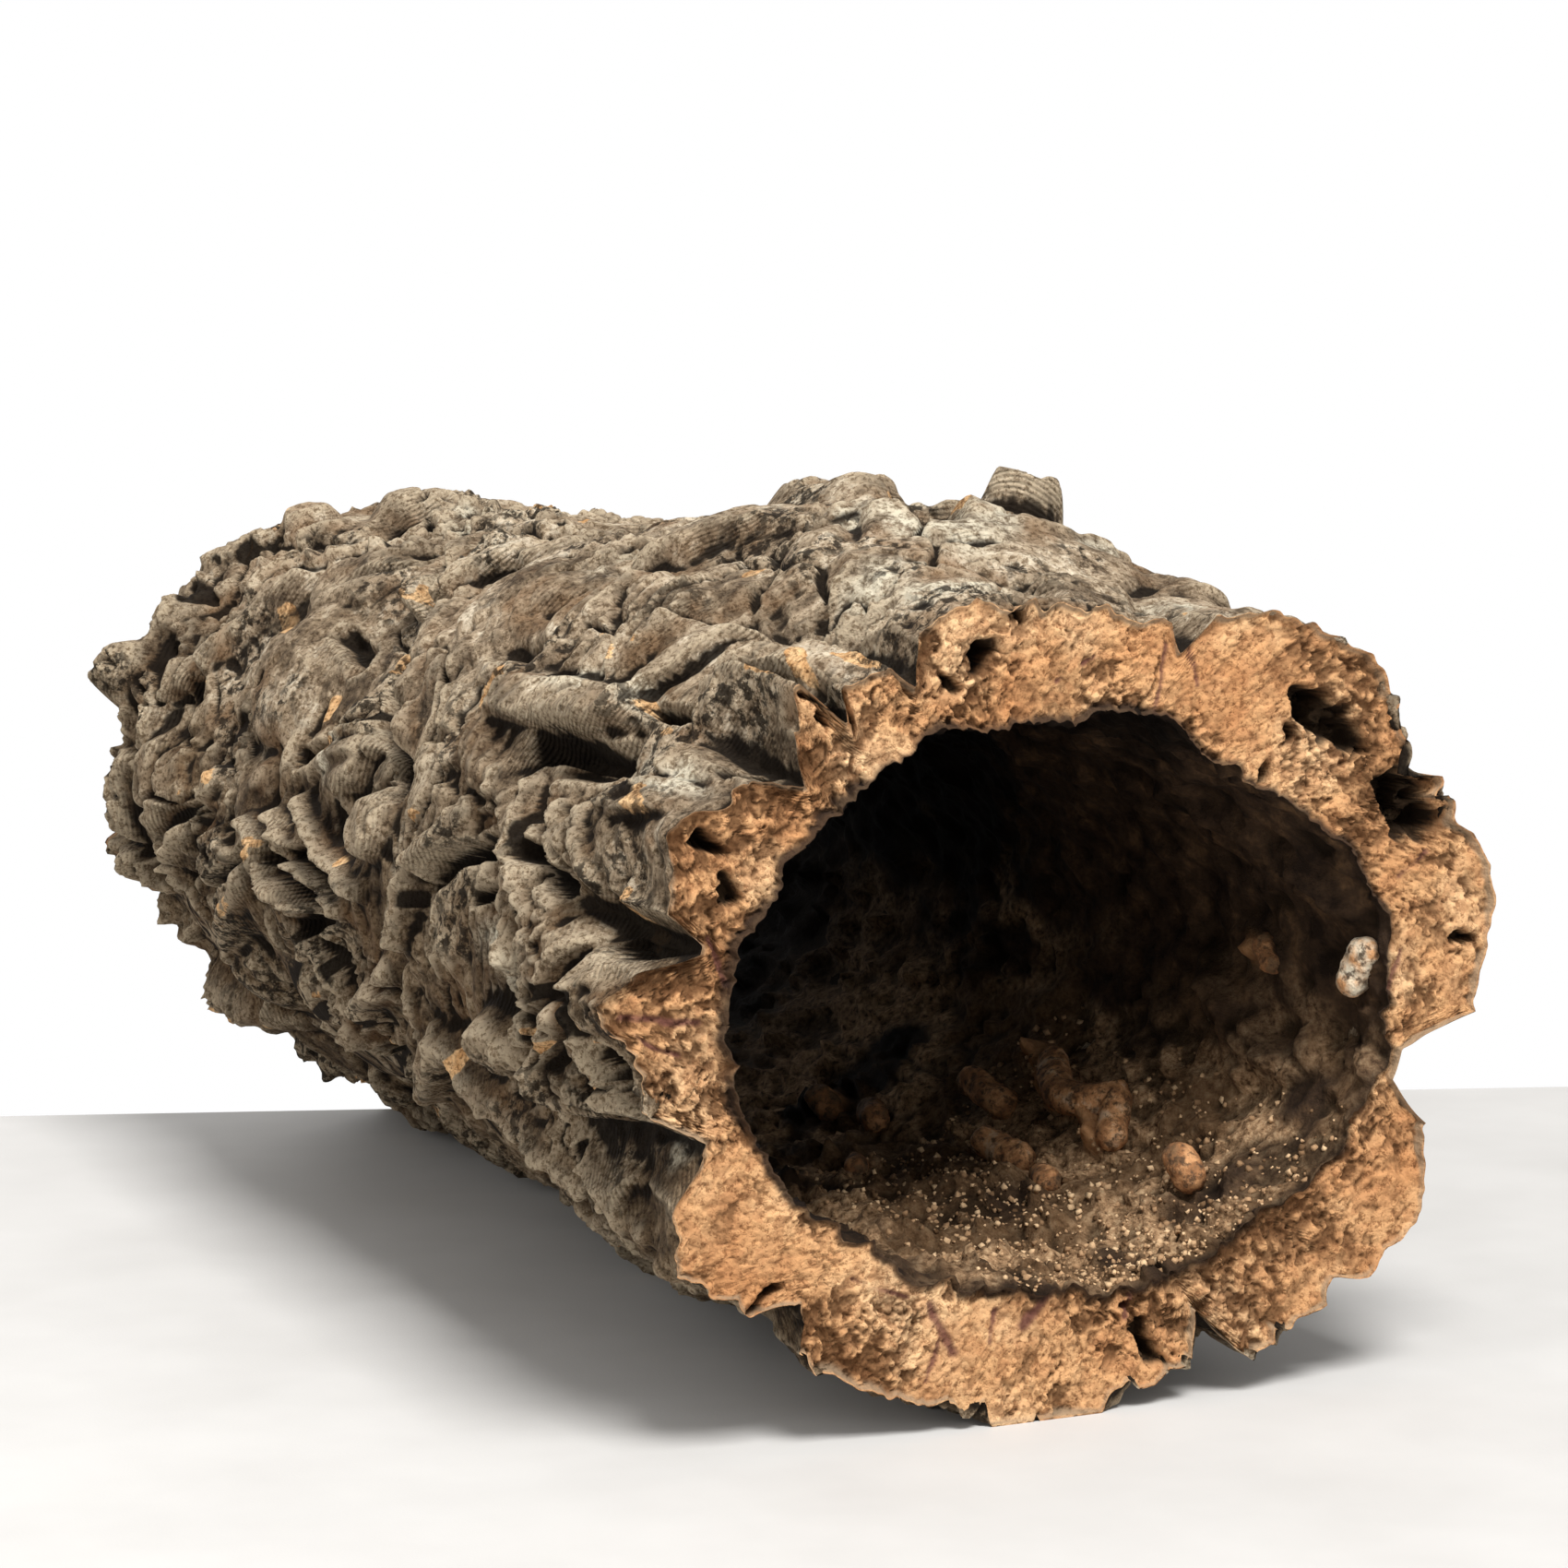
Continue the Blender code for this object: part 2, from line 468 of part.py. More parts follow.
def bark_radius(angle, along, height, cut):
    """Distance of the bark from the axis, with the swells of the mouth and a wall left under it."""
    lobes = np.zeros(angle.shape)
    for centre, half_width, swell in MOUTH_LOBES:
        lobes += swell * np.exp(-((apart(angle, centre) / half_width) ** 2))
    at_mouth = 1.0 - smooth(*LOBE_END, along)
    radius = base_radius(angle, along) + height - cut + lobes * at_mouth
    web = (1.0 - smooth(5.0, 11.0, np.abs(apart(angle, SPLIT)))) * at_mouth
    wall = THINNEST_WALL + (SPLIT_WEB - THINNEST_WALL) * web
    return np.maximum(radius, hollow_radius(angle, along) + wall)


def leaning(angle, along, radius, height):
    """Points of the bark, with raised forms leaning round the tube and along it."""
    points = relief_points(angle, along)
    lean = height * smooth(0.0, 60.0, along) * (1.0 - smooth(LENGTH - 60.0, LENGTH, along))
    turn = np.radians(angle) + LEAN * (0.4 + 1.2 * noise(points, LEAN_SIZE, 150)) * lean / RELIEF_RADIUS
    ahead = LEAN * (0.5 + 1.0 * noise(points, LEAN_SIZE, 155)) * lean
    return np.stack((radius * np.cos(turn), along - ahead, radius * np.sin(turn)), axis=-1)


def void_depth(x, z, voids):
    """Depth of the cavities in a sawn face."""
    depth = np.zeros(x.shape)
    for across, up, half_length, half_width, turn, deepest in voids:
        c, s = math.cos(math.radians(turn)), math.sin(math.radians(turn))
        u = (c * (x - across) + s * (z - up)) / half_length
        v = (c * (z - up) - s * (x - across)) / half_width
        depth = np.maximum(depth, deepest * (1.0 - smooth(0.45, 1.15, np.sqrt(u * u + v * v))))
    return depth


def sawn_face(outer_rim, inner_rim, voids, inward):
    """Rings of points across a sawn end, from its outer rim to its inner one, both left out."""
    share = (np.arange(1, STEPS_WALL) / STEPS_WALL)[:, None, None]
    rings = outer_rim * (1.0 - share) + inner_rim * share
    rings[..., 1] += inward * void_depth(rings[..., 0], rings[..., 2], voids)
    return rings


def tube_rings():
    """All the rings of the tube, from the mouth over the bark and back through the hollow."""
    angles = np.arange(STEPS_ROUND) * (360.0 / STEPS_ROUND)
    angle, along = np.meshgrid(angles, np.linspace(0.0, LENGTH, STEPS_BARK + 1))
    cut = cut_depth(angle, along)
    height = standing_relief(angle, along, cut)
    bark = leaning(angle, along, bark_radius(angle, along, height, cut), height)
    angle, along = np.meshgrid(angles, np.linspace(LENGTH, 0.0, STEPS_HOLLOW + 1))
    radius, turn = hollow_radius(angle, along), np.radians(angle)
    hollow = np.stack((radius * np.cos(turn), along, radius * np.sin(turn)), axis=-1)
    far = sawn_face(bark[-1], hollow[0], FAR_VOIDS, -1.0)
    mouth = sawn_face(bark[0], hollow[-1], MOUTH_VOIDS, 1.0)[::-1]
    return np.concatenate((bark, far, hollow, mouth))


def tube_mesh():
    """The closed mesh of the tube, in the frame of the whole part."""
    rings = tube_rings()
    count, steps = rings.shape[:2]
    points = rings.reshape(-1, 3) + np.array((-MIDDLE_TO_RIGHT, -LENGTH / 2.0, FLOOR_DROP))
    ring, step = np.meshgrid(np.arange(count), np.arange(steps), indexing="ij")
    next_ring, next_step = (ring + 1) % count, (step + 1) % steps
    corners = (ring * steps + step, ring * steps + next_step,
               next_ring * steps + next_step, next_ring * steps + step)
    faces = np.stack(corners, axis=-1).reshape(-1, 4)
    mesh = bpy.data.meshes.new("cork_bark_tube")
    mesh.from_pydata((points * MM).tolist(), [], faces.tolist())
    return mesh


def cork_material():
    """Grey-brown weathered bark over warm cork."""
    material = bpy.data.materials.new("cork_bark")
    material.use_nodes = True
    shader = material.node_tree.nodes["Principled BSDF"]
    shader.inputs["Base Color"].default_value = (0.23, 0.17, 0.11, 1.0)
    shader.inputs["Roughness"].default_value = 0.92
    shader.inputs["Metallic"].default_value = 0.0
    return material


def simplified(mesh):
    """The same mesh with fewer triangles."""
    draft = bpy.data.objects.new("draft", mesh)
    bpy.context.scene.collection.objects.link(draft)
    reduce = draft.modifiers.new("fewer_triangles", "DECIMATE")
    reduce.ratio = TRIANGLES / (2.0 * len(mesh.polygons))
    reduce.use_collapse_triangulate = True
    lean_mesh = bpy.data.meshes.new_from_object(draft.evaluated_get(bpy.context.evaluated_depsgraph_get()))
    bpy.data.objects.remove(draft)
    bpy.data.meshes.remove(mesh)
    return lean_mesh


def wear_flat(mesh):
    """Cuts the lowest lumps off level with the resting surface, which leaves small flat spots."""
    shape = bmesh.new()
    shape.from_mesh(mesh)
    for vert in shape.verts:
        if abs(vert.co.z) < CLEAR_OF_CUT * MM:
            vert.co.z = -CLEAR_OF_CUT * MM
    everything = shape.verts[:] + shape.edges[:] + shape.faces[:]
    cut = bmesh.ops.bisect_plane(
        shape, geom=everything, dist=0.0000001, plane_co=(0.0, 0.0, 0.0), plane_no=(0.0, 0.0, -1.0),
        clear_outer=True)
    rims = [item for item in cut["geom_cut"] if isinstance(item, bmesh.types.BMEdge)]
    bmesh.ops.holes_fill(shape, edges=rims, sides=0)
    bmesh.ops.remove_doubles(shape, verts=shape.verts, dist=SAME_PLACE * MM)
    bmesh.ops.triangulate(shape, faces=shape.faces)
    bmesh.ops.recalc_face_normals(shape, faces=shape.faces)
    shape.to_mesh(mesh)
    shape.free()


def cork_bark_tube():
    """The whole part."""
    mesh = simplified(tube_mesh())
    wear_flat(mesh)
    mesh.name = "cork_bark_tube"
    mesh.materials.append(cork_material())
    tube = bpy.data.objects.new("cork_bark_tube", mesh)
    bpy.context.scene.collection.objects.link(tube)
    return tube


for old in list(bpy.data.objects):
    bpy.data.objects.remove(old)
cork_bark_tube()
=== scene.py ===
"""Looks of the cork bark tube: a fine mesh of the same form as its CAD solid, and its finish.

The form is laid out as in the part's source: every point of the bark is known by its angle
round the tube (0 at +X, 90 on top, seen from the mouth) and by its distance along the tube
from the mouth. Cracks, chips, growth layers and grains are added to it here. The fine mesh is
made in closed pieces that share their borders: the bark in five strips, the lining of the
hollow and the two sawn ends. Nodules and loose grains lie in the hollow. Dimensions are in
millimetres.
"""
import math

import bpy
import numpy as np
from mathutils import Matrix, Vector


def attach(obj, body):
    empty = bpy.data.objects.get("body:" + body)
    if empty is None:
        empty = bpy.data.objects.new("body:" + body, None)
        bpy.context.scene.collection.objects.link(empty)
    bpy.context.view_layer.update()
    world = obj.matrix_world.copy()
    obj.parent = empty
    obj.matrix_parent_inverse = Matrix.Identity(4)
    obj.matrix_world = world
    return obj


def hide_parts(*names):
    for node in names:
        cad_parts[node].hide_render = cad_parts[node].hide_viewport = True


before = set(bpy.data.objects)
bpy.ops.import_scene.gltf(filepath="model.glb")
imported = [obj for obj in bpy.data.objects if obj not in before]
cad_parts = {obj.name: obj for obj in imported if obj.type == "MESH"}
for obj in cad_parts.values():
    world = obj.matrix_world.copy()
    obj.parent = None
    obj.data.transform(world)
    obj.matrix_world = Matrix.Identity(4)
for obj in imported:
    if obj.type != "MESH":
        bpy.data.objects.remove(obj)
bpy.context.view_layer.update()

MM = 0.001

# Driving dimensions
LENGTH = 430.0
FLOOR_DROP = 104.0          # from the middle of the mouth down to the resting surface
MIDDLE_TO_RIGHT = 6.0       # from the middle of the mouth to the middle of the whole width
THINNEST_WALL = 10.0
SPLIT = 348.0               # the angle at which one furrow nearly splits the wall
SPLIT_WEB = 4.0             # the wall that is left under that furrow, at the mouth
RELIEF_RADIUS = 112.0       # the cylinder on which the relief is laid out

# Stations of the bark: distance along, then radii at every 45 degrees, from the right (0
# degrees) over the top and round again
BARK_STATIONS = (
    (0, (126, 120, 100, 98, 107, 103, 102, 117)),
    (110, (121, 120, 112, 107, 112, 98, 100, 110)),
    (250, (117, 110, 99, 103, 108, 92, 98, 106)),
    (430, (112, 102, 94, 105, 108, 88, 98, 102)),
)
HOLLOW_MOUTH_RADII = (103.0, 80.0, 73.0, 78.0, 84.0, 76.0, 72.0, 86.0)
HOLLOW_FAR_RADII = (92.0, 80.0, 76.0, 80.0, 86.0, 79.0, 74.0, 80.0)

# Swells of the sawn outline at the mouth: angle, half width in degrees, height
MOUTH_LOBES = (
    (9, 8, 7), (42, 5, 3), (70, 11, -9), (102, 9, 5),
    (128.5, 2.5, 9), (153, 5, 9), (176, 4.5, 10), (211, 5, 9),
    (270, 8, 4), (292, 8, -6), (305, 3, 4), (321, 4, 4), (330, 6, 5),
    (341, 4, -5),
)

# Furrows that open in the sawn outline: angle, half width in degrees, depth, reach, swing
FURROWS = (
    (SPLIT, 7, 25, 900, 3),
    (27, 3, 6, 60, 4),
    (66, 3, 9, 50, 5),
    (113, 3, 9, 70, 6),
    (126, 2, 11, 60, 6),
    (137.5, 4.5, 11, 45, 5),
    (167, 3.8, 14, 60, 4),
    (196, 6, 14, 120, 6),
    (226, 4.5, 10, 160, 5),
    (299, 4, 12, 200, 5),
    (318, 3, 6, 150, 8),
)

# Forms of their own on the bark: angle, along, half size round, half size along, turn in
# degrees, height, share of the half size that is edge
BARK_FORMS = (
    # the flaps and the ridge that stand up on top
    (68.5, 94, 14, 6.5, 0, 16, 0.4),
    (60.5, 74, 11, 6.5, 0, 5, 0.5),
    (84, 84, 10, 14, 0, -7, 0.8),
    (79, 168, 17, 40, 0, 12, 0.5),
    (76, 116, 14, 13, 0, -7, 0.9),
    (96, 196, 14, 14, 0, 3, 0.6),
    (92, 296, 26, 17, 0, -11, 0.8),
    (80, 350, 38, 32, 0, -12, 0.8),
    (84, 320, 9, 14, 0, -8, 0.8),
    (78, 398, 30, 26, 0, -16, 0.8),
    (89, 256, 24, 24, 0, -8, 0.8),
    (52, 62, 16, 40, 10, 4, 0.8),
    # the domes of the upper left
    (127, 112, 24, 38, 0, 7, 0.35),
    (132, 178, 34, 30, 20, 7, 0.5),
    (127, 34, 19, 22, 0, 6, 0.5),
    (96, 60, 30, 40, 0, 3, 0.8),
    (51, 418, 16, 18, 0, 5, 0.8),
    # ledges on the left, each with its hollow below it
    (141, 98, 9, 48, -9, 10, 0.4),
    (144, 136, 9, 12, -9, 4, 0.4),
    (148, 72, 5, 18, -9, -11, 0.6),
    (142.5, 26, 8, 14, -9, 6, 0.3),
    (149.5, 28, 8, 27, -10, 8, 0.4),
    (157, 45, 14, 32, 0, 4, 0.6),
    (165.5, 10, 7, 22, 0, 10, 0.4),
    (172, 10, 6, 16, 0, 7, 0.4),
    (156, 128, 20, 16, 0, 5, 0.6),
    # the plates and hollows of the lower left, near the mouth
    (191, 18, 12, 12, 0, 7, 0.4),
    (198, 34, 12, 12, 30, -8, 0.7),
    (189, 92, 12, 14, 0, 6, 0.5),
    (183, 62, 7, 16, -30, 4, 0.5),
    # the middle and the far part of the left side
    (155, 222, 24, 24, 0, 6, 0.6),
    (165, 178, 13, 12, 0, 8, 0.5),
    (151, 198, 12, 10, 0, -7, 0.9),
    (148, 300, 30, 34, 0, 5, 0.7),
    (128, 320, 26, 32, 0, 4, 0.7),
    (184, 320, 22, 24, 30, 3, 0.5),
    (172, 376, 20, 24, 30, 4, 0.5),
    # the far end: the knobs of its outline and the hollow under one of them
    (156.5, 412, 17, 17, 0, 17, 0.8),
    (145, 408, 14, 14, 0, 9, 0.8),
    (166, 402, 9, 9, 0, -7, 0.8),
    (198, 412, 17, 24, 0, -10, 0.8),
    (216, 388, 16, 45, 0, 14, 0.8),
    (240, 395, 20, 40, 0, 6, 0.8),
    (102, 366, 22, 15, 0, 8, 0.5),
    (116, 406, 15, 12, 0, 7, 0.6),
    # low lumps that the tube rests on
    (266, 24, 24, 24, 0, 6, 0.6),
    (287, 60, 18, 24, 0, 7, 0.7),
    (256, 215, 20, 30, 0, 6, 0.7),
    (284, 235, 18, 26, 0, 6, 0.7),
    (258, 372, 18, 26, 0, 7, 0.7),
    (286, 366, 18, 26, 0, 8, 0.7),
)

# Folds of the bark: half width, height, then the points of the line as angle and along
BARK_FOLDS = (
    (9, 6, (121, 240), (140, 211), (150, 184)),
    (6.5, 7, (179, 148), (167, 139), (158, 116)),
    (5.5, 7, (172, 289), (179, 264), (183, 228)),
    (5, 6, (170, 268), (175, 244), (179, 208)),
    (5, 6, (166, 242), (172, 219), (175, 188)),
    (5, 4, (161, 243), (156, 220), (152, 184)),
    (7, 6, (193, 140), (202, 103), (208, 56)),
    (6.5, 5, (189, 84), (201, 68), (208, 26)),
    (5, 7, (181, 40), (187, 56), (193, 58), (196, 38)),
    (4.5, 7, (179, 26), (185, 20), (192, 6)),
    (6.5, 4.5, (154, 92), (176, 76)),
    (6.5, 4.5, (155, 72), (170, 50)),
    (5.5, 4.5, (153, 58), (163, 36)),
    (10, 6, (149, 124), (160, 88), (170, 62), (177, 48)),
    (4.5, 3, (117, 132), (134, 128)),
    (4.5, 3, (117, 114), (134, 108)),
    (4.5, 3, (118, 98), (133, 90)),
    (7.5, 5, (143, 154), (157, 134)),
    (9, 5, (136, 34), (121, 24)),
    (6.5, 5, (186, 372), (176, 350), (168, 330)),
    (6.5, 5, (196, 330), (185, 300), (176, 276)),
    (7.5, 5, (206, 250), (196, 214), (186, 170)),
    (7.5, 5, (214, 214), (204, 176), (196, 150)),
    (7.5, 4, (96, 176), (80, 158)),
    (7.5, 5, (150, 372), (132, 352), (118, 340)),
)

# Slots and pits of the bark, in the same way, with their depth
BARK_SLOTS = (
    (6.5, 13, (115, 268), (143, 225), (153, 196), (158, 174)),
    (5, 17, (169, 131), (162, 99)),
    (3.5, 12, (170, 102), (167, 88)),
    (4, 15.5, (171, 134), (179, 126)),
    (4, 9.5, (161, 80), (164, 50)),
    (3.5, 18, (169, 24), (167, 4)),
    (6.5, 14.5, (197, 30), (195, 6)),
    (4.5, 13, (182, 14), (189, 3)),
    (5.5, 12, (190, 42), (194, 26)),
    (6, 13, (146.5, 98), (145, 60)),
    (3.5, 11, (137, 62), (136, 44)),
    (5.5, 12, (113, 35), (108, 31)),
    (3.5, 8.5, (124, 17), (122, 7)),
    (3.5, 9.5, (141, 12), (139, 5)),
    (4, 13, (175, 272), (181, 222)),
    (3, 8.5, (173, 250), (178, 212)),
    (4.5, 12, (190, 344), (177, 292)),
    (4.5, 11, (186, 254), (182, 226)),
    (5, 8.5, (183, 378), (172, 340)),
    (4, 11, (158, 250), (161, 268)),
    (4.5, 9.5, (202, 132), (208, 96)),
    (4, 8.5, (188, 190), (194, 160)),
    (5, 9.5, (210, 300), (200, 260)),
    (4.5, 8.5, (104, 216), (97, 226)),
    (4, 8.5, (86, 118), (78, 108)),
    (4.5, 9.5, (52, 96), (70, 106)),
    (4.5, 8.5, (120, 300), (132, 318)),
    (4.5, 9.5, (144, 262), (138, 290)),
)

# Cavities in the sawn face of the mouth: across, up, half length, half width, turn, depth
MOUTH_VOIDS = (
    (82, 68, 13, 5, -50, 14),
    (106, 43, 10, 6.5, -35, 12),
    (122, 12, 6.5, 2.2, 5, 8),
    (-15, 85, 6, 3, 10, 9),
    (-86, 46, 6.5, 3, -35, 9),
    (-83, 33, 3.6, 4.6, 0, 10),
    (32, -89, 4, 6, 15, 10),
)

# Cavities in the sawn face of the far end, in the same way
FAR_VOIDS = (
    (-92, 30, 8, 4, 70, 10),
    (60, 70, 9, 4, -40, 10),
    (27, -80, 6, 2.5, 20, 8),
)

# Knots on the floor and the wall of the hollow: angle, along, half sizes, turn, height
HOLLOW_KNOTS = (
    (320, 152, 6, 9, 0, 6), (303, 207, 7, 10, 0, 6),
    (309, 117, 7, 12, 20, 5), (320, 43, 6.5, 8, 0, 8),
    (0, 17, 7, 9, 0, 6), (359, 63, 6, 8, 0, 5),
    (350, 24, 15, 15, 0, -6), (296, 60, 9, 12, 30, 3),
    (12, 100, 9, 14, 0, 5), (5, 150, 10, 12, 0, 5),
    (200, 150, 10, 16, 0, 5), (265, 210, 12, 14, 0, 5),
    (110, 300, 10, 18, 0, 5), (240, 330, 10, 14, 0, 5),
)

# Ridges in the hollow, as lines: half width, height, then points as angle and along
HOLLOW_RIDGES = (
    (6, 8, (330, 137), (324, 117), (326, 98), (319, 86)),
    (7, 6, (356, 86), (348, 68), (342, 48)),
    (8, 4, (28, 72), (18, 38), (10, 16)),
)

# Bark plates: size round, size along, depth of the gaps between them, how much they differ in
# height, how far they tilt, the height of their crown and how far their borders bend
LARGE_PLATES = (80.0, 44.0, 4.5, 6.0, 9.0, 2.5, 11.0)
SMALL_PLATES = (42.0, 24.0, 3.0, 3.0, 5.0, 2.0, 5.0)
SMOOTH_BARK = (190.0, 370.0, 0.25, 0.65)   # from, to: along the tube; how rough it is on either side
PLATE_EDGE = 0.16           # share of a plate's size over which it drops into a gap
LEAN = 0.3                  # how far a raised form leans, for each millimetre of its height
LEAN_SIZE = 80.0            # of the noise that varies the lean
CALM = 0.8                  # how much of the plates' relief a form of its own takes over
LINE_CALM = 0.6             # the same for a fold or a slot
SWELL_HEIGHT, SWELL_SIZE = 5.0, 95.0   # of the slow unevenness under all the rest
BEND_SIZE = 40.0            # of the noise that bends the plates and the sheets
SLOT_BEND_SIZE = 14.0       # the same for the slots
SHEET_GAP = 25.0            # between the sheets that the bark has grown in, along the tube
SHEET_SWAY = 1.3            # how far they wander, in gaps
SHEET_BEND = 5.0
SHEET_HEIGHT = 7.5
SHEET_BASE = 0.3            # the share of that height that is level with the bark
CALM_WIDTH = 11.0           # how far from a fold or a slot the plates are lower
WOBBLE = 2.5                # how far the lines of folds and slots stray
FORM_REACH = (30.0, 60.0)   # degrees and millimetres beyond which a form has no effect
LINE_REACH = (40.0, 90.0)
RELIEF_START = (2.0, 36.0)  # from the sawn mouth, where the relief rises to its full height
LOBE_END = (10.0, 60.0)     # from the sawn mouth, where the swells of its outline die out
FURROW_CALM = (12.0, 0.8)   # depth at which a furrow has taken over this share of the relief

# The fine mesh: where each strip starts and ends and how finely it is divided
BAND = 18.0                 # the sawn ends reach this far round their rims
OVERLAP = 0.6               # pieces reach this far under each other at their borders
SKIN = 3.0                  # the lining's depth, under which the bark starts
SKIP = 8                    # hidden backs have one step where the front has this many
STRIPS = (
    ("bark_right", -12, 50, 88, 280),
    ("bark_top", 50, 112, 152, 496),
    ("bark_left", 112, 164, 136, 520),
    ("bark_lower_left", 164, 216, 136, 520),
    ("bark_under", 216, 348, 136, 216),
)
MOUTH_STEPS = (1040, 0.72, 56)   # steps round, step along the rims in mm, steps across the wall
FAR_STEPS = (560, 1.44, 34)
LINING_STEPS_ROUND, LINING_STEPS_ALONG = 352, 168
MARGIN = 26                 # steps beyond a border, worked out and then left off
CREASE_REACH, SMALL_REACH, MIDDLE_REACH, WIDE_REACH = 1.6, 3.5, 6.0, 10.0   # of the blurs, in mm
LAYER = 3.8                 # height of one step between growth layers
LAYER_DRIFT = 2.2           # how far those steps stray
CRUMBLY_SIZE = 36.0         # of the places where the bark has crumbled
CREASE_SIZE, FINE_CREASE_SIZE = 15.0, 6.5   # between the creases in it
FINE_SHEET_GAP, FINE_SHEET_HEIGHT = 8.0, 1.3
CRACK_PLATES = (30.0, 24.0)   # size round and along of the plates between open cracks
CRACK_DEPTH = 4.0
CHIP_PLATES = (9.0, 8.0)    # the same for chips and, below, for crumbs
CRUMB_PLATES = (4.2, 4.2)
PIT_SIZE, PIT_DEPTH = 7.0, 3.0
WALL_SLOPES = (0.8, 2.0)    # slopes of the plain form between which it loses the fine relief
WALL_CALM = 0.8
LAYER_LEAN = 0.8            # how far the growth layers rise for each millimetre along the tube
LAYER_WAVE, LAYER_WAVE_SIZE = 2.4, 18.0
GRAIN_CELL, CLUMP_CELL = 2.2, 4.6   # of the sawn cork
FINE_BEND_SIZE = 26.0       # of the noise that bends the fine relief
CUT_BEND_SIZE, FRAY_SIZE, RAGGED_SIZE = 9.0, 2.6, 12.0   # the same for the sawn cork and its cavities
LINING_BEND_SIZE = 16.0
LINING_PLATES, LINING_CRUMB, DEBRIS_CLUMP = (15.0, 20.0), 5.0, 9.0   # sizes in the hollow
CALM_CUT = ((82.0, 104.0), (45.0, 25.0))   # from, to: across and up, where the cut is smoother
DEBRIS_ANGLE = 300.0        # the middle of the debris on the floor of the hollow
NEAR_STEP = 4.0             # along a nodule, for its direction

# Small holes in the sawn face of the mouth, beside the large cavities
SMALL_VOIDS = (
    (22, -77, 2.1, 2, 0, 12),
    (-8, 97, 1.2, 4, 10, 5),
    (61, 57, 3, 3.5, 0, 6),
    (90, 57, 2.2, 1.5, 0, 5),
    (-75, -66, 3.5, 1.6, 30, 7),
    (-24, 84, 4, 2, -40, 5),
    (114, 50, 4, 2.5, 60, 7),
    (75, 62, 5, 2, -80, 7),
    (-63, 78, 1.2, 4, 20, 7),
    (-52, 76, 1, 7, 25, 7),
    (33, 76, 0.6, 9, -5, 3.5),
)

# Dark veins in the sawn cork: both ends, across and up, and the width
VEINS = (
    (-111, 7, -92, 3, 1.3), (-108, 1, -96, -4, 0.9),
    (-30, -72, -24, -84, 1.6), (-27, -78, -30, -90, 0.8),
    (2, -73, -4, -79, 1.6), (-11, -75, -13, -82, 1),
    (28, -70, 26, -80, 1.2), (66, -38, 62, -48, 1.6),
    (72, -36, 69, -45, 1.1), (62, -50, 56, -57, 1),
    (32, 66, 34, 88, 0.8), (43, 78, 40, 92, 0.9),
    (-50, -63, -36, -69, 0.9), (100, -8, 104, 6, 1),
    (104, 26, 112, 31, 0.9), (-84, 12, -87, 24, 0.8),
    (88, -26, 98, -38, 0.8), (5, 80, 14, 86, 0.7),
)

# The same in the far end
FAR_VEINS = (
    (-70, 50, -62, 60, 1.2), (85, 10, 98, 14, 1.2), (-20, -80, -16, -90, 1.2),
    (40, 75, 44, 88, 1), (-88, -10, -98, -16, 1),
)

# Fresh orange breaks on the bark: angle, along, half size round, half size along, turn
FRESH_BREAKS = (
    (142.5, 136, 8, 11, 0), (151, 26, 5, 11, 30), (138, 345, 6, 11, 20),
    (152, 266, 6, 6, 0), (150, 340, 4, 6, 0), (187, 32, 9, 5, 30),
    (184, 54, 4, 9, 0), (117, 12, 6, 7, 0), (122, 22, 4, 8, 30),
    (166.5, 23, 9, 5, 0), (138.5, 68, 3, 4, 0), (140.5, 50, 3, 4, 0),
    (74, 138, 9, 4, 30), (109, 90, 4, 4, 0), (171, 205, 5, 4, 0),
    (158, 236, 3, 6, 0), (196, 130, 4, 5, 0), (205, 220, 6, 3, 0),
    (98, 250, 7, 4, 20), (104, 392, 5, 8, 0), (66, 230, 6, 8, 0),
    (20, 120, 7, 5, 0), (30, 300, 6, 8, 0), (225, 90, 5, 7, 0),
    (240, 300, 6, 5, 0), (310, 180, 7, 6, 0), (335, 330, 6, 6, 0),
)

# Pale weathered or lichened places: angle, along, half size round, half size along, turn
PALE_PATCHES = (
    (100, 34, 30, 30, 0), (86, 84, 24, 34, 0), (64, 30, 14, 12, 0),
    (164, 12, 9, 12, 0), (195, 12, 11, 11, 0), (138, 84, 7, 34, 0),
    (146, 34, 8, 30, 0), (112, 150, 26, 50, 20), (118, 250, 14, 20, 0),
    (67, 92, 16, 8, 0), (62, 70, 10, 8, 0), (160, 240, 12, 18, 0),
    (100, 330, 16, 30, 0), (40, 180, 20, 34, 0), (178, 90, 14, 20, 0),
)

# Loose grains on the floor of the hollow
GRAINS = 2200

# Nodules of the hollow: radius, how far the middle stands in from the wall, tone from brown to
# pale, then the places they run through
NODULE_SIDES, NODULE_RINGS = 28, 30
NODULES = (
    (4.6, 4.5, 0.45, (329.5, 124), (323, 104), (324.5, 92), (328, 87), (320.5, 80)),
    (4.6, 3.5, 0.35, (319, 148), (317.5, 132)),
    (4.2, 3, 0.2, (304.5, 184), (302.5, 176)),
    (4, 2.5, 0.15, (301, 208), (300.5, 202)),
    (4.6, 2, 0.5, (307.5, 118), (308, 104)),
    (4.4, 4.5, 0.3, (320.5, 39), (318.5, 34)),
    (4.4, 2.5, 0.75, (3, 9), (358.5, 13)),
    (3.6, 2.5, 0.2, (0, 55), (358, 51)),
    (3.4, 2, 0.3, (306.5, 87), (305.5, 80)),
    (3.2, 2, 0.25, (288, 150), (286, 146)),
)

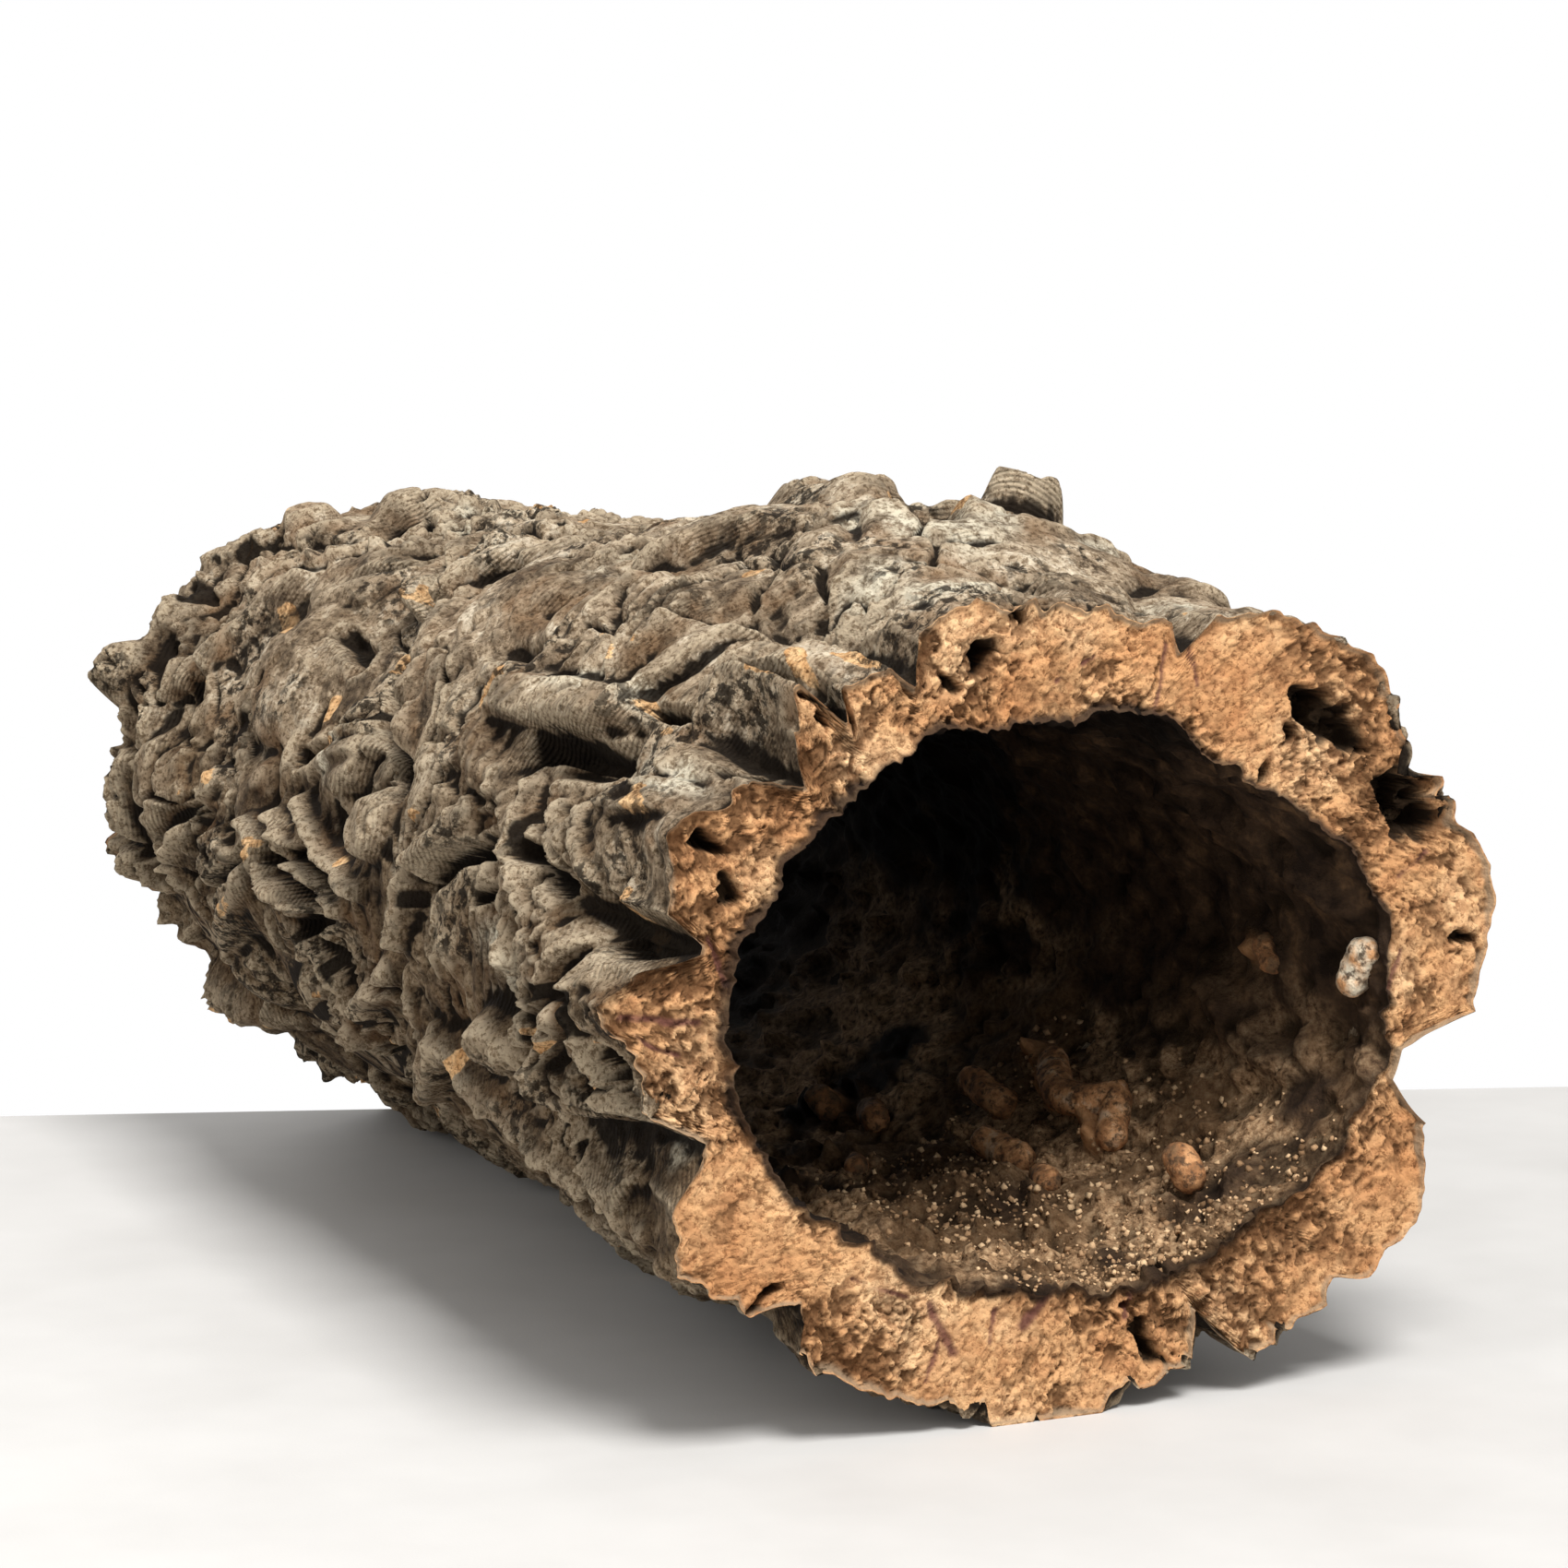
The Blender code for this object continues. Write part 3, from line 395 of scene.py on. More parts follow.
# Colours, as linear red, green and blue
BARK_DARK = (0.080, 0.055, 0.034)
BARK_MIDDLE = (0.240, 0.175, 0.112)
BARK_LIGHT = (0.450, 0.345, 0.230)
BARK_PALE = (0.760, 0.650, 0.490)
BARK_WARM = (0.270, 0.160, 0.082)
EDGE_HIGHLIGHT = (0.640, 0.520, 0.360)
CRUST = (0.760, 0.690, 0.530)
# near black: painted shade in crevices, voids and dips, and the real soot specks of the bark
SHADE_AND_SOOT_BLACK = (0.010, 0.006, 0.003)
UNDERSIDE_SHADE = (0.50, 0.455, 0.40)
LINE_TONE = (0.38, 0.33, 0.28)
FRESH_DARK = (0.600, 0.320, 0.130)
FRESH_LIGHT = (0.860, 0.560, 0.290)
CUT_ORANGE = (0.480, 0.230, 0.095)
CUT_TAN = (0.570, 0.320, 0.150)
CUT_LIGHT = (0.740, 0.480, 0.260)
CUT_RED = (0.340, 0.150, 0.062)
CUT_SPECK_SHADOW = (0.30, 0.22, 0.16)
CUT_GRAIN_SHADE = (0.090, 0.038, 0.014)
VEIN_TONE = (0.120, 0.045, 0.035)
DEEP_SHADE_BLACK = (0.003, 0.002, 0.0015)
LINING_DARK = (0.020, 0.012, 0.008)
LINING_BROWN = (0.060, 0.035, 0.020)
LINING_WARM = (0.160, 0.090, 0.044)
DEBRIS_DARK = (0.080, 0.042, 0.019)
DEBRIS_TONE = (0.420, 0.255, 0.135)
DEBRIS_LIGHT = (0.720, 0.500, 0.290)
KNOT_DARK = (0.300, 0.135, 0.055)
KNOT_LIGHT = (0.560, 0.290, 0.130)
FLOOR_DARK = (0.52, 0.505, 0.485)
FLOOR_LIGHT = (0.57, 0.555, 0.535)
LINE_GAP = 1.7              # between growth lines, in mm

# The camera: the middle of the mouth as the camera sees it (right, ahead, up), its turn and
# tilt in degrees, and its lens
MOUTH_FROM_CAMERA = (63.0, 1146.0, -214.7)
VIEW_TURN, VIEW_TILT = 25.0, 7.9
LENS = 109.06

# The studio: two points on the floor's far edge, and the lights with their direction from the
# tube, distance and size in metres and power in watts
FLOOR_EDGE = ((-139.0, 251.0), (350.0, 76.0))
FLOOR_SIZE = 1500.0
FLOOR_THICK = 30.0
AMBIENT = 0.45
LIGHTS = (
    ("key_light", (-0.05, -0.54, 0.84), 3, 1.1, 122),
    ("fill_light", (0.25, -0.95, 0.14), 1.6, 0.8, 4.5),
    ("left_light", (-0.85, -0.35, 0.4), 2, 1.4, 11),
    ("back_light", (-0.1, 0.85, 0.5), 2, 1.3, 10),
)


def smooth(low, high, value):
    """Rises from 0 to 1 between low and high, level at both ends."""
    t = np.clip((value - low) / (high - low), 0.0, 1.0)
    return t * t * (3.0 - 2.0 * t)


def lattice_random(cell, seed):
    """Gives each whole-numbered lattice point its own fixed number from 0 to 1."""
    n = cell[..., 0] * 73856093 ^ cell[..., 1] * 19349663 ^ cell[..., 2] * 83492791
    n = (n ^ (seed * 2654435761)) & 0xFFFFFFFF
    for _ in range(2):
        n = ((n ^ (n >> 16)) * 0x45D9F3B) & 0xFFFFFFFF
    return (n ^ (n >> 16)) / 4294967295.0


def noise(points, size, seed):
    """Smooth noise from -1 to 1, with bumps about as wide as size."""
    scaled = points / size
    cell = np.floor(scaled).astype(np.int64)
    f = scaled - cell
    f = f * f * f * (f * (f * 6.0 - 15.0) + 10.0)
    total = np.zeros(points.shape[:-1])
    for corner in np.ndindex(2, 2, 2):
        weight = np.prod(np.where(corner, f, 1.0 - f), axis=-1)
        total += weight * lattice_random(cell + np.array(corner), seed)
    return 2.0 * total - 1.0


def layered_noise(points, size, seed, layers=3):
    """Noise with finer and weaker noise added on top."""
    total = np.zeros(points.shape[:-1])
    for layer in range(layers):
        total += noise(points, size / 2.0 ** layer, seed + layer) * 0.5 ** layer
    return total


def bends(points, size, seed, layers=3):
    """Three noises of their own, by which the relief is bent along each axis."""
    return np.stack([layered_noise(points, size, seed + 10 * axis, layers) for axis in range(3)], axis=-1)


def plates(points, size_round, size_along, seed):
    """Splits the bark into cells; gives the distance to a border, a random number, the offset."""
    scaled = points / np.array((size_round, size_along, size_round))
    cell = np.floor(scaled).astype(np.int64)
    nearest = np.full(points.shape[:-1], 9.0)
    second = np.full(points.shape[:-1], 9.0)
    tag = np.zeros(points.shape[:-1])
    offset = np.zeros(points.shape)
    for step in np.ndindex(3, 3, 3):
        near = cell + np.array(step) - 1
        spot = np.stack([lattice_random(near, seed + axis) for axis in range(3)], axis=-1)
        away = scaled - near - spot
        distance = np.sqrt((away ** 2).sum(axis=-1))
        closer = distance < nearest
        second = np.where(closer, nearest, np.minimum(second, distance))
        nearest = np.where(closer, distance, nearest)
        tag = np.where(closer, lattice_random(near, seed + 7), tag)
        offset = np.where(closer[..., None], away, offset)
    return second - nearest, nearest, tag, offset


def compass_radius(angle, radii):
    """A closed smooth curve through eight radii, at every 45 degrees."""
    turn = (angle % 360.0) / 45.0
    index = np.floor(turn).astype(int)
    t = turn - index
    a, b, c, d = (np.array(radii)[(index + k) % 8] for k in (-1, 0, 1, 2))
    return b + 0.5 * t * (c - a + t * (2 * a - 5 * b + 4 * c - d + t * (3 * (b - c) + d - a)))


def apart(angle, centre):
    """Degrees from centre, from -180 to 180."""
    return (angle - centre + 180.0) % 360.0 - 180.0


def relief_points(angle, along):
    """Places on the cylinder that the relief is laid out on."""
    turn = np.radians(angle)
    return np.stack((RELIEF_RADIUS * np.cos(turn), along, RELIEF_RADIUS * np.sin(turn)), axis=-1)


def form_height(angle, along, form):
    """One form of its own: level on top, falling off round its oval edge."""
    centre, place, half_round, half_along, turn, height, edge = form
    across = np.radians(apart(angle, centre)) * RELIEF_RADIUS
    forward = along - place
    c, s = math.cos(math.radians(turn)), math.sin(math.radians(turn))
    u = (c * across + s * forward) / half_round
    v = (c * forward - s * across) / half_along
    return height * (1.0 - smooth(1.0 - edge, 1.0, np.sqrt(u * u + v * v)))


def line_height(place, bend, line, edge):
    """How near each point lies to a line of bark, from 0 at its edge to 1 along its middle."""
    half_width, points = line[0], line[2:]
    near = np.zeros(place.shape[:-1])
    across = np.radians(apart(place[..., 0], points[0][0])) * RELIEF_RADIUS + WOBBLE * bend[..., 0]
    forward = place[..., 1] - points[0][1] + WOBBLE * bend[..., 2]
    start_across = start_forward = 0.0
    for (angle_1, along_1), (angle_2, along_2) in zip(points, points[1:]):
        run_across = math.radians(angle_2 - angle_1) * RELIEF_RADIUS
        run_forward = along_2 - along_1
        u, v = across - start_across, forward - start_forward
        share = np.clip((u * run_across + v * run_forward) / (run_across ** 2 + run_forward ** 2), 0.0, 1.0)
        away = np.hypot(u - share * run_across, v - share * run_forward)
        near = np.maximum(near, 1.0 - smooth(1.0 - edge, 1.0, away / half_width))
        start_across += run_across
        start_forward += run_forward
    return near


def lines_height(angle, along, bend, lines, edge):
    """The highest of several lines at each point; lines that are far from it aren't worked out."""
    height = np.zeros(angle.shape)
    place = np.stack((angle, along), axis=-1)
    for line in lines:
        middle_angle = sum(point[0] for point in line[2:]) / len(line[2:])
        middle_along = sum(point[1] for point in line[2:]) / len(line[2:])
        near = np.abs(apart(angle, middle_angle)) < LINE_REACH[0]
        near &= np.abs(along - middle_along) < LINE_REACH[1]
        part = line[1] * line_height(place[near], bend[near], line, edge)
        height[near] = np.maximum(height[near], part)
    return height


def plate_relief(points, bend, plan, seed):
    """Raised plates with sunken gaps; each plate has its own height, tilt and crown."""
    size_round, size_along, gap, heave, tilt, crown, bending = plan
    border, middle, tag, offset = plates(points + bending * bend, size_round, size_along, seed)
    turn = np.arctan2(points[..., 2], points[..., 0])
    round_offset = offset[..., 2] * np.cos(turn) - offset[..., 0] * np.sin(turn)
    way = 2.0 * math.pi * (7.0 * tag % 1.0)
    slope = np.cos(way) * round_offset + np.sin(way) * offset[..., 1]
    level = heave * (tag - 0.5) + tilt * slope + crown * (0.3 - middle ** 2)
    return -gap + (gap + level) * smooth(0.0, PLATE_EDGE, border)


def sheets(points, gap, sway, seed):
    """Overlapping sheets that run round the tube: each rises in a cliff and falls off slowly."""
    phase = points[..., 1] / gap + sway * layered_noise(points, 60.0, seed, 2)
    share = phase - np.floor(phase)
    facing = noise(points, 100.0, seed + 5)
    share = np.where(facing > 0.0, share, 1.0 - share)
    return smooth(0.0, 0.2, share) * (1.0 - share) * smooth(0.05, 0.35, np.abs(facing))


def bark_relief(angle, along):
    """Height of the bark over its base oval, before slots and furrows are cut into it."""
    points = relief_points(angle, along)
    bend = bends(points, BEND_SIZE, 11)
    height = plate_relief(points, bend, SMALL_PLATES, 80)
    height += SHEET_HEIGHT * (sheets(points + SHEET_BEND * bend, SHEET_GAP, SHEET_SWAY, 90) - SHEET_BASE)
    start, end, low, high = SMOOTH_BARK
    height *= low + (high - low) * smooth(start, end, along)
    height += SWELL_HEIGHT * layered_noise(points, SWELL_SIZE, 5, 2)
    height += plate_relief(points, bend, LARGE_PLATES, 60)
    for form in BARK_FORMS:
        near = (np.abs(apart(angle, form[0])) < FORM_REACH[0]) & (np.abs(along - form[1]) < FORM_REACH[1])
        rise = form_height(angle[near], along[near], form)
        height[near] += rise - CALM * height[near] * np.abs(rise / form[5])
    wide = [(CALM_WIDTH, 1.0) + line[2:] for line in BARK_FOLDS + BARK_SLOTS]
    height *= 1.0 - LINE_CALM * lines_height(angle, along, bend, wide, 1.0)
    return height + lines_height(angle, along, bend, BARK_FOLDS, 0.9)


def slot_depth(angle, along):
    """Depth of the slots and pits."""
    points = relief_points(angle, along)
    bend = bends(points, SLOT_BEND_SIZE, 120, 2)
    return lines_height(angle, along, bend, BARK_SLOTS, 0.8)


def furrow_depth(angle, along):
    """Depth of the long furrows that start at the mouth and wander along the tube."""
    depth = np.zeros(angle.shape)
    for centre, half_width, deepest, reach, swing in FURROWS:
        wander = swing * np.sin(along / 37.0 + centre) * smooth(10.0, 80.0, along)
        across = np.abs(apart(angle, centre + wander)) / half_width
        fade = 1.0 - smooth(0.35 * reach, reach, along)
        depth = np.maximum(depth, deepest * fade * np.clip(1.0 - across, 0.0, 1.0) ** 0.8)
    return depth


def base_radius(angle, along):
    """The plain oval of the bark, from station to station."""
    place, radii = BARK_STATIONS[0]
    radius = compass_radius(angle, radii)
    for next_place, radii in BARK_STATIONS[1:]:
        radius += (compass_radius(angle, radii) - radius) * smooth(place, next_place, along)
        place = next_place
    return radius


def hollow_radius(angle, along):
    """The wall of the hollow, with its knots and its slow unevenness."""
    share = smooth(0.0, 220.0, along)
    radius = compass_radius(angle, HOLLOW_MOUTH_RADII) * (1.0 - share)
    radius += compass_radius(angle, HOLLOW_FAR_RADII) * share
    points = relief_points(angle, along)
    radius += 3.5 * layered_noise(points, 48.0, 140) * smooth(-60.0, 40.0, along)
    radius += 1.6 * layered_noise(points, 20.0, 143, 2)
    for knot in HOLLOW_KNOTS:
        radius -= form_height(angle, along, knot + (0.95,))
    bend = np.stack([noise(points, 14.0, 145 + axis) for axis in range(3)], axis=-1)
    return radius - lines_height(angle, along, bend, HOLLOW_RIDGES, 0.9)


def cut_depth(angle, along):
    """Depth of all that is cut into the bark: furrows, slots and pits."""
    return np.maximum(furrow_depth(angle, along), slot_depth(angle, along) * smooth(0.0, 6.0, along))


def standing_relief(angle, along, cut):
    """Height of the relief where the cuts and the sawn mouth leave it standing."""
    height = bark_relief(angle, along) * smooth(*RELIEF_START, along)
    return height * (1.0 - FURROW_CALM[1] * smooth(0.0, FURROW_CALM[0], cut))


def bark_radius(angle, along, height, cut):
    """Distance of the bark from the axis, with the swells of the mouth and a wall left under it."""
    lobes = np.zeros(angle.shape)
    for centre, half_width, swell in MOUTH_LOBES:
        lobes += swell * np.exp(-((apart(angle, centre) / half_width) ** 2))
    at_mouth = 1.0 - smooth(*LOBE_END, along)
    radius = base_radius(angle, along) + height - cut + lobes * at_mouth
    web = (1.0 - smooth(5.0, 11.0, np.abs(apart(angle, SPLIT)))) * at_mouth
    wall = THINNEST_WALL + (SPLIT_WEB - THINNEST_WALL) * web
    return np.maximum(radius, hollow_radius(angle, along) + wall)


def leaning(angle, along, radius, height):
    """Points of the bark, with raised forms leaning round the tube and along it."""
    points = relief_points(angle, along)
    lean = height * smooth(0.0, 60.0, along) * (1.0 - smooth(LENGTH - 60.0, LENGTH, along))
    turn = np.radians(angle) + LEAN * (0.4 + 1.2 * noise(points, LEAN_SIZE, 150)) * lean / RELIEF_RADIUS
    ahead = LEAN * (0.5 + 1.0 * noise(points, LEAN_SIZE, 155)) * lean
    return np.stack((radius * np.cos(turn), along - ahead, radius * np.sin(turn)), axis=-1)


def void_depth(x, z, voids):
    """Depth of the cavities in a sawn face."""
    depth = np.zeros(x.shape)
    for across, up, half_length, half_width, turn, deepest in voids:
        c, s = math.cos(math.radians(turn)), math.sin(math.radians(turn))
        u = (c * (x - across) + s * (z - up)) / half_length
        v = (c * (z - up) - s * (x - across)) / half_width
        depth = np.maximum(depth, deepest * (1.0 - smooth(0.45, 1.15, np.sqrt(u * u + v * v))))
    return depth


def blurred(field, reach):
    """The field averaged over a square of the given half width in steps, twice."""
    for _ in range(2):
        for axis in (0, 1):
            pad = [(0, 0), (0, 0)]
            pad[axis] = (reach + 1, reach)
            total = np.cumsum(np.pad(field, pad, mode="edge"), axis=axis)
            wide = 2 * reach + 1
            ahead = np.take(total, range(wide, total.shape[axis]), axis=axis)
            behind = np.take(total, range(total.shape[axis] - wide), axis=axis)
            field = (ahead - behind) / wide
    return field


def patches(angle, along, ovals, wobble):
    """How far each point lies inside any of the ovals, with ragged edges, from 0 to 1."""
    inside = np.zeros(angle.shape)
    for centre, place, half_round, half_along, turn in ovals:
        form = (centre, place, half_round, half_along, turn, 1.0, 0.5)
        near = (np.abs(apart(angle, centre)) < 40.0) & (np.abs(along - place) < 70.0)
        part = form_height(angle[near] + 2.0 * wobble[near], along[near] + 4.0 * wobble[near], form)
        inside[near] = np.maximum(inside[near], part)
    return inside


def fine_bark(angle, along, step):
    """Points and paint of the bark; step is the size of a mesh step, which the blurs go by."""
    place = relief_points(angle, along)
    bend = bends(place, FINE_BEND_SIZE, 210)
    cut = cut_depth(angle, along)
    coarse = standing_relief(angle, along, cut)
    height = coarse.copy()

    # growth layers: the relief rises in small cliffs, ragged along their edges
    drift = LAYER_DRIFT * bend[..., 0]
    level = (height + drift) / LAYER
    whole = np.floor(level)
    stepped = LAYER * (whole + smooth(0.5, 0.85, level - whole)) - drift
    crumbly = smooth(0.1, 0.6, noise(place, CRUMBLY_SIZE, 340) + 0.25 * smooth(150.0, 330.0, along))
    height += (0.15 + 0.7 * crumbly) * (stepped - height)

    # lumps with sharp creases between them, then cracks, chips and crumbs
    crease = np.abs(layered_noise(place + 5.0 * bend, CREASE_SIZE, 220, 2))
    height += (0.4 + 1.2 * crumbly) * (np.minimum(crease, 0.7) - 0.35)
    fine_sheets = sheets(place + 3.0 * bend, FINE_SHEET_GAP, 4.0, 240)
    height += FINE_SHEET_HEIGHT * fine_sheets * (1.0 - 0.7 * crumbly)
    ridge = 1.0 - np.abs(layered_noise(place + 5.0 * bend, 12.0, 230, 3))
    height += 0.9 * crumbly * (ridge - 0.6)
    border, _, tag, _ = plates(place + 5.0 * bend, *CRACK_PLATES, 300)
    open_crack = smooth(0.0, 0.5, noise(place, 50.0, 310))
    height += 2.5 * (tag - 0.5) * smooth(0.0, 0.15, border) * open_crack
    height -= CRACK_DEPTH * (1.0 - smooth(0.01, 0.11, border)) * open_crack
    border, _, tag, _ = plates(place + 3.0 * bend, *CHIP_PLATES, 330)
    chips = 2.4 * (tag - 0.5) * smooth(0.0, 0.25, border) - 0.8 * (1.0 - smooth(0.0, 0.2, border))
    height += chips * crumbly
    border, _, tag, _ = plates(place + 2.0 * bend, *CRUMB_PLATES, 335)
    height += 1.3 * (tag - 0.5) * smooth(0.0, 0.2, border) * (0.15 + 0.85 * crumbly)
    small_crease = np.abs(layered_noise(place + 2.0 * bend, FINE_CREASE_SIZE, 350, 3))
    height += (0.3 + 0.8 * crumbly) * (np.minimum(small_crease, 0.9) - 0.35)
    height += 1.3 * layered_noise(place, 5.0, 354, 2) * (1.0 - smooth(0.0, 14.0, along))
    pit = smooth(0.48, 0.8, noise(place, PIT_SIZE, 356)) * crumbly
    height -= PIT_DEPTH * pit

    # the steep walls of ledges and slots stay plain
    standing = coarse - cut
    wall = np.hypot(np.gradient(standing, axis=0), np.gradient(standing, axis=1)) / step
    height = coarse + (height - coarse) * (1.0 - WALL_CALM * smooth(*WALL_SLOPES, wall))

    radius = bark_radius(angle, along, height, cut)
    # growth lines lie along each layer of the bark, so they show on its slopes
    layer = radius + LAYER_LEAN * along + LAYER_WAVE * layered_noise(place, LAYER_WAVE_SIZE, 360, 2)
    points = leaning(angle, along, radius, coarse)
    points[..., 2] = np.maximum(points[..., 2], -FLOOR_DROP)

    relief = height - cut
    reaches = (CREASE_REACH, SMALL_REACH, MIDDLE_REACH, WIDE_REACH)
    means = [blurred(relief, max(1, round(reach / step))) for reach in reaches]
    crease_mean, near_mean, middle_mean, wide_mean = means
    slope = np.hypot(np.gradient(near_mean, axis=0), np.gradient(near_mean, axis=1)) / step
    # painted shade: darker where the relief lies below its blurred means, in creases, hollows and pits
    hollow = 0.45 * smooth(0.1, 0.9, crease_mean - relief) + 0.6 * smooth(0.3, 2.6, near_mean - relief)
    hollow += 0.75 * smooth(1.0, 6.0, wide_mean - relief) + pit
    # painted highlight: raised places and edges are paler in the finish; fresh breaks also follow them
    proud = 0.5 * smooth(0.2, 1.2, relief - crease_mean) + 0.5 * smooth(0.8, 3.0, relief - middle_mean)
    fresh = patches(angle, along, FRESH_BREAKS, bend[..., 1])
    rare = smooth(0.75, 1.0, layered_noise(place, 17.0, 370, 2))
    fresh = np.maximum(fresh, smooth(0.5, 1.0, proud) * rare)
    pale = patches(angle, along, PALE_PATCHES, bend[..., 1])
    pale *= smooth(-0.5, 0.4, layered_noise(place, 20.0, 380))
    paint = {
        "layer": layer,
        "hollow": np.clip(hollow, 0.0, 1.0),
        "proud": proud,
        "fresh": fresh,
        "pale": pale,
        # painted shade: darker on the sides and underside of the tube
        "side": smooth(0.02, 0.5, 0.5 - 0.5 * np.sin(np.radians(angle)) + 0.15 * bend[..., 2]),
        "steep": smooth(0.25, 0.8, slope) * (1.0 - 0.7 * crumbly),
    }
    return points, paint


def face_relief(x, z, share, wall, voids, veins):
    """How far the sawn cork lies behind the plane of the cut, and its paint."""
    place = np.stack((x, np.zeros(x.shape), z), axis=-1)
    bend = bends(place, CUT_BEND_SIZE, 410, 2)
    fray = bends(place, FRAY_SIZE, 490, 2)
    border, _, tag, _ = plates(place + 1.0 * bend + 0.9 * fray, GRAIN_CELL, GRAIN_CELL, 440)
    grain = 0.25 * (1.0 - smooth(0.0, 0.3, border)) + 0.75 * tag
    border, _, tag, _ = plates(place + 1.5 * bend + 1.3 * fray, CLUMP_CELL, CLUMP_CELL, 450)
    clump = 0.3 * (1.0 - smooth(0.0, 0.2, border)) + 1.1 * tag ** 2
    calm = smooth(*CALM_CUT[0], x) * smooth(*CALM_CUT[1], z)
    rough = smooth(-0.6, 0.5, noise(place, 20.0, 460)) * (1.0 - 0.7 * calm)
    depth = (0.6 + 1.2 * rough) * (grain + clump) + 0.5 * (1.0 + layered_noise(place, 14.0, 470))
    depth += 0.35 * noise(place, 1.5, 480)
    ragged = bends(place, RAGGED_SIZE, 500)
    void = void_depth(x + 4.0 * ragged[..., 0], z + 4.0 * ragged[..., 2], voids) * (0.6 + 0.8 * tag)
    vein = np.zeros(x.shape)
    for x1, z1, x2, z2, width in veins:
        step_x, step_z = x2 - x1, z2 - z1
        run = np.clip(((x - x1) * step_x + (z - z1) * step_z) / (step_x ** 2 + step_z ** 2), 0.0, 1.0)
        away_x = x - x1 - run * step_x + 0.9 * bend[..., 0]
        away_z = z - z1 - run * step_z + 0.9 * bend[..., 2]
        vein = np.maximum(vein, 1.0 - smooth(0.3 * width, 1.2 * width, np.hypot(away_x, away_z)))
    from_outer, from_inner = share * wall, (1.0 - share) * wall
    depth = np.maximum(depth, 0.0) + 0.5 * vein
    depth *= smooth(0.0, 1.2, from_outer) * smooth(0.0, 1.2, from_inner)
    paint = {
        # painted shade: the finish darkens the cavities nearly to black
        "void": smooth(0.8, 4.0, void),
        # painted shade: the deeper the grain lies, the darker the finish makes it
        "grain": np.clip(depth / 3.2 + 0.2 * tag - 0.1, 0.0, 1.0),
        "vein": vein,
        "rim_out": 1.0 - smooth(0.4, 1.6 + 1.2 * rough, from_outer + 0.7 * bend[..., 1]),
        "rim_in": 1.0 - smooth(0.4, 2.6 + 1.4 * rough, from_inner + 0.9 * bend[..., 1]),
    }
    return depth + void, paint


def fine_hollow(angle, along):
    """Points and paint of the lining of the hollow, with debris along its floor."""
    place = relief_points(angle, along)
    bend = bends(place, LINING_BEND_SIZE, 510, 2)
    border, _, tag, _ = plates(place + 3.0 * bend, *LINING_PLATES, 540)
    rise = 1.4 * (1.0 - smooth(0.0, 0.3, border)) + 1.6 * (tag - 0.5)
    border, _, tag, _ = plates(place + 1.5 * bend, LINING_CRUMB, LINING_CRUMB, 550)
    rise += 1.3 * (tag - 0.4) * smooth(0.0, 0.35, border)
    rise += 1.4 * layered_noise(place, 8.0, 560, 3)
    floor = 1.0 - smooth(44.0, 62.0, np.abs(apart(angle, DEBRIS_ANGLE)) + 8.0 * bend[..., 0])
    border, _, tag, _ = plates(place + 2.0 * bend, DEBRIS_CLUMP, DEBRIS_CLUMP, 590)
    rise += floor * (4.0 * tag ** 2 * smooth(0.0, 0.4, border) - 0.8)
    rim = 1.0 - smooth(0.0, 12.0, along)
    rise += 1.8 * layered_noise(place, 11.0, 580, 3) * rim
    knot = lines_height(angle, along, bend, HOLLOW_RIDGES[:1], 0.7) / HOLLOW_RIDGES[0][1]
    for form in HOLLOW_KNOTS[:6]:
        knot = np.maximum(knot, form_height(angle, along, form[:5] + (1.0, 0.8)))
    settled = smooth(0.0, 10.0, along) * (1.0 - smooth(LENGTH - 10.0, LENGTH, along))
    rise = np.maximum(rise, 1.0 - 0.8 * SKIN)
    debris = floor * smooth(-0.75, 0.1, layered_noise(place, 26.0, 570)) * smooth(330.0, 200.0, along)
    # painted shade: the wall on the left and above, and all that lies deep, is painted near black
    shaded = 1.4 * smooth(110.0, 260.0, along) - np.cos(np.radians(angle - 325.0))
    radius = hollow_radius(angle, along) - rise * (0.7 + 0.3 * settled)
    turn = np.radians(angle)
    points = np.stack((radius * np.cos(turn), along, radius * np.sin(turn)), axis=-1)
    paint = {
        "debris": debris,
        "knot": knot,
        # painted shade: the finish darkens the lining where it dips
        "rise": np.clip(0.5 + 0.22 * rise, 0.0, 1.0),
        "rim_in": 1.0 - smooth(1.0, 7.0, along + 2.5 * bend[..., 1]),
        "deep_shade": smooth(-0.5, 0.2, shaded + 0.3 * bend[..., 2]),
    }
    return points, paint


def grid_normals(points, outward):
    """Normals of a grid of points, on the side away from the axis, or towards it."""
    normal = np.cross(np.gradient(points, axis=0), np.gradient(points, axis=1))
    normal /= np.maximum(np.linalg.norm(normal, axis=-1, keepdims=True), 1e-9)
    side = (normal[..., 0] * points[..., 0] + normal[..., 2] * points[..., 2]).mean()
    return normal * np.sign(side) * (1.0 if outward else -1.0)


def grid_faces(rows, columns, start, wrap, turned):
    """Faces of a grid whose points are numbered row by row."""
    last = columns if wrap else columns - 1
    row, column = np.meshgrid(np.arange(rows - 1), np.arange(last), indexing="ij")
    after = (column + 1) % columns
    corners = [row * columns + column, row * columns + after,
               (row + 1) * columns + after, (row + 1) * columns + column]
    if turned:
        corners.reverse()
    return (start + np.stack(corners, axis=-1)).reshape(-1, 4)


def borders(rows, columns, start, wrap):
    """The closed loops of point numbers round a grid, in the turn of its faces."""
    number = start + np.arange(rows * columns).reshape(rows, columns)
    if wrap:
        return [number[0].tolist(), [number[-1, 0]] + number[-1, :0:-1].tolist()]
    loop = number[0, :-1].tolist() + number[:-1, -1].tolist()
    loop += number[-1, :0:-1].tolist() + number[:0:-1, 0].tolist()
    return [loop]


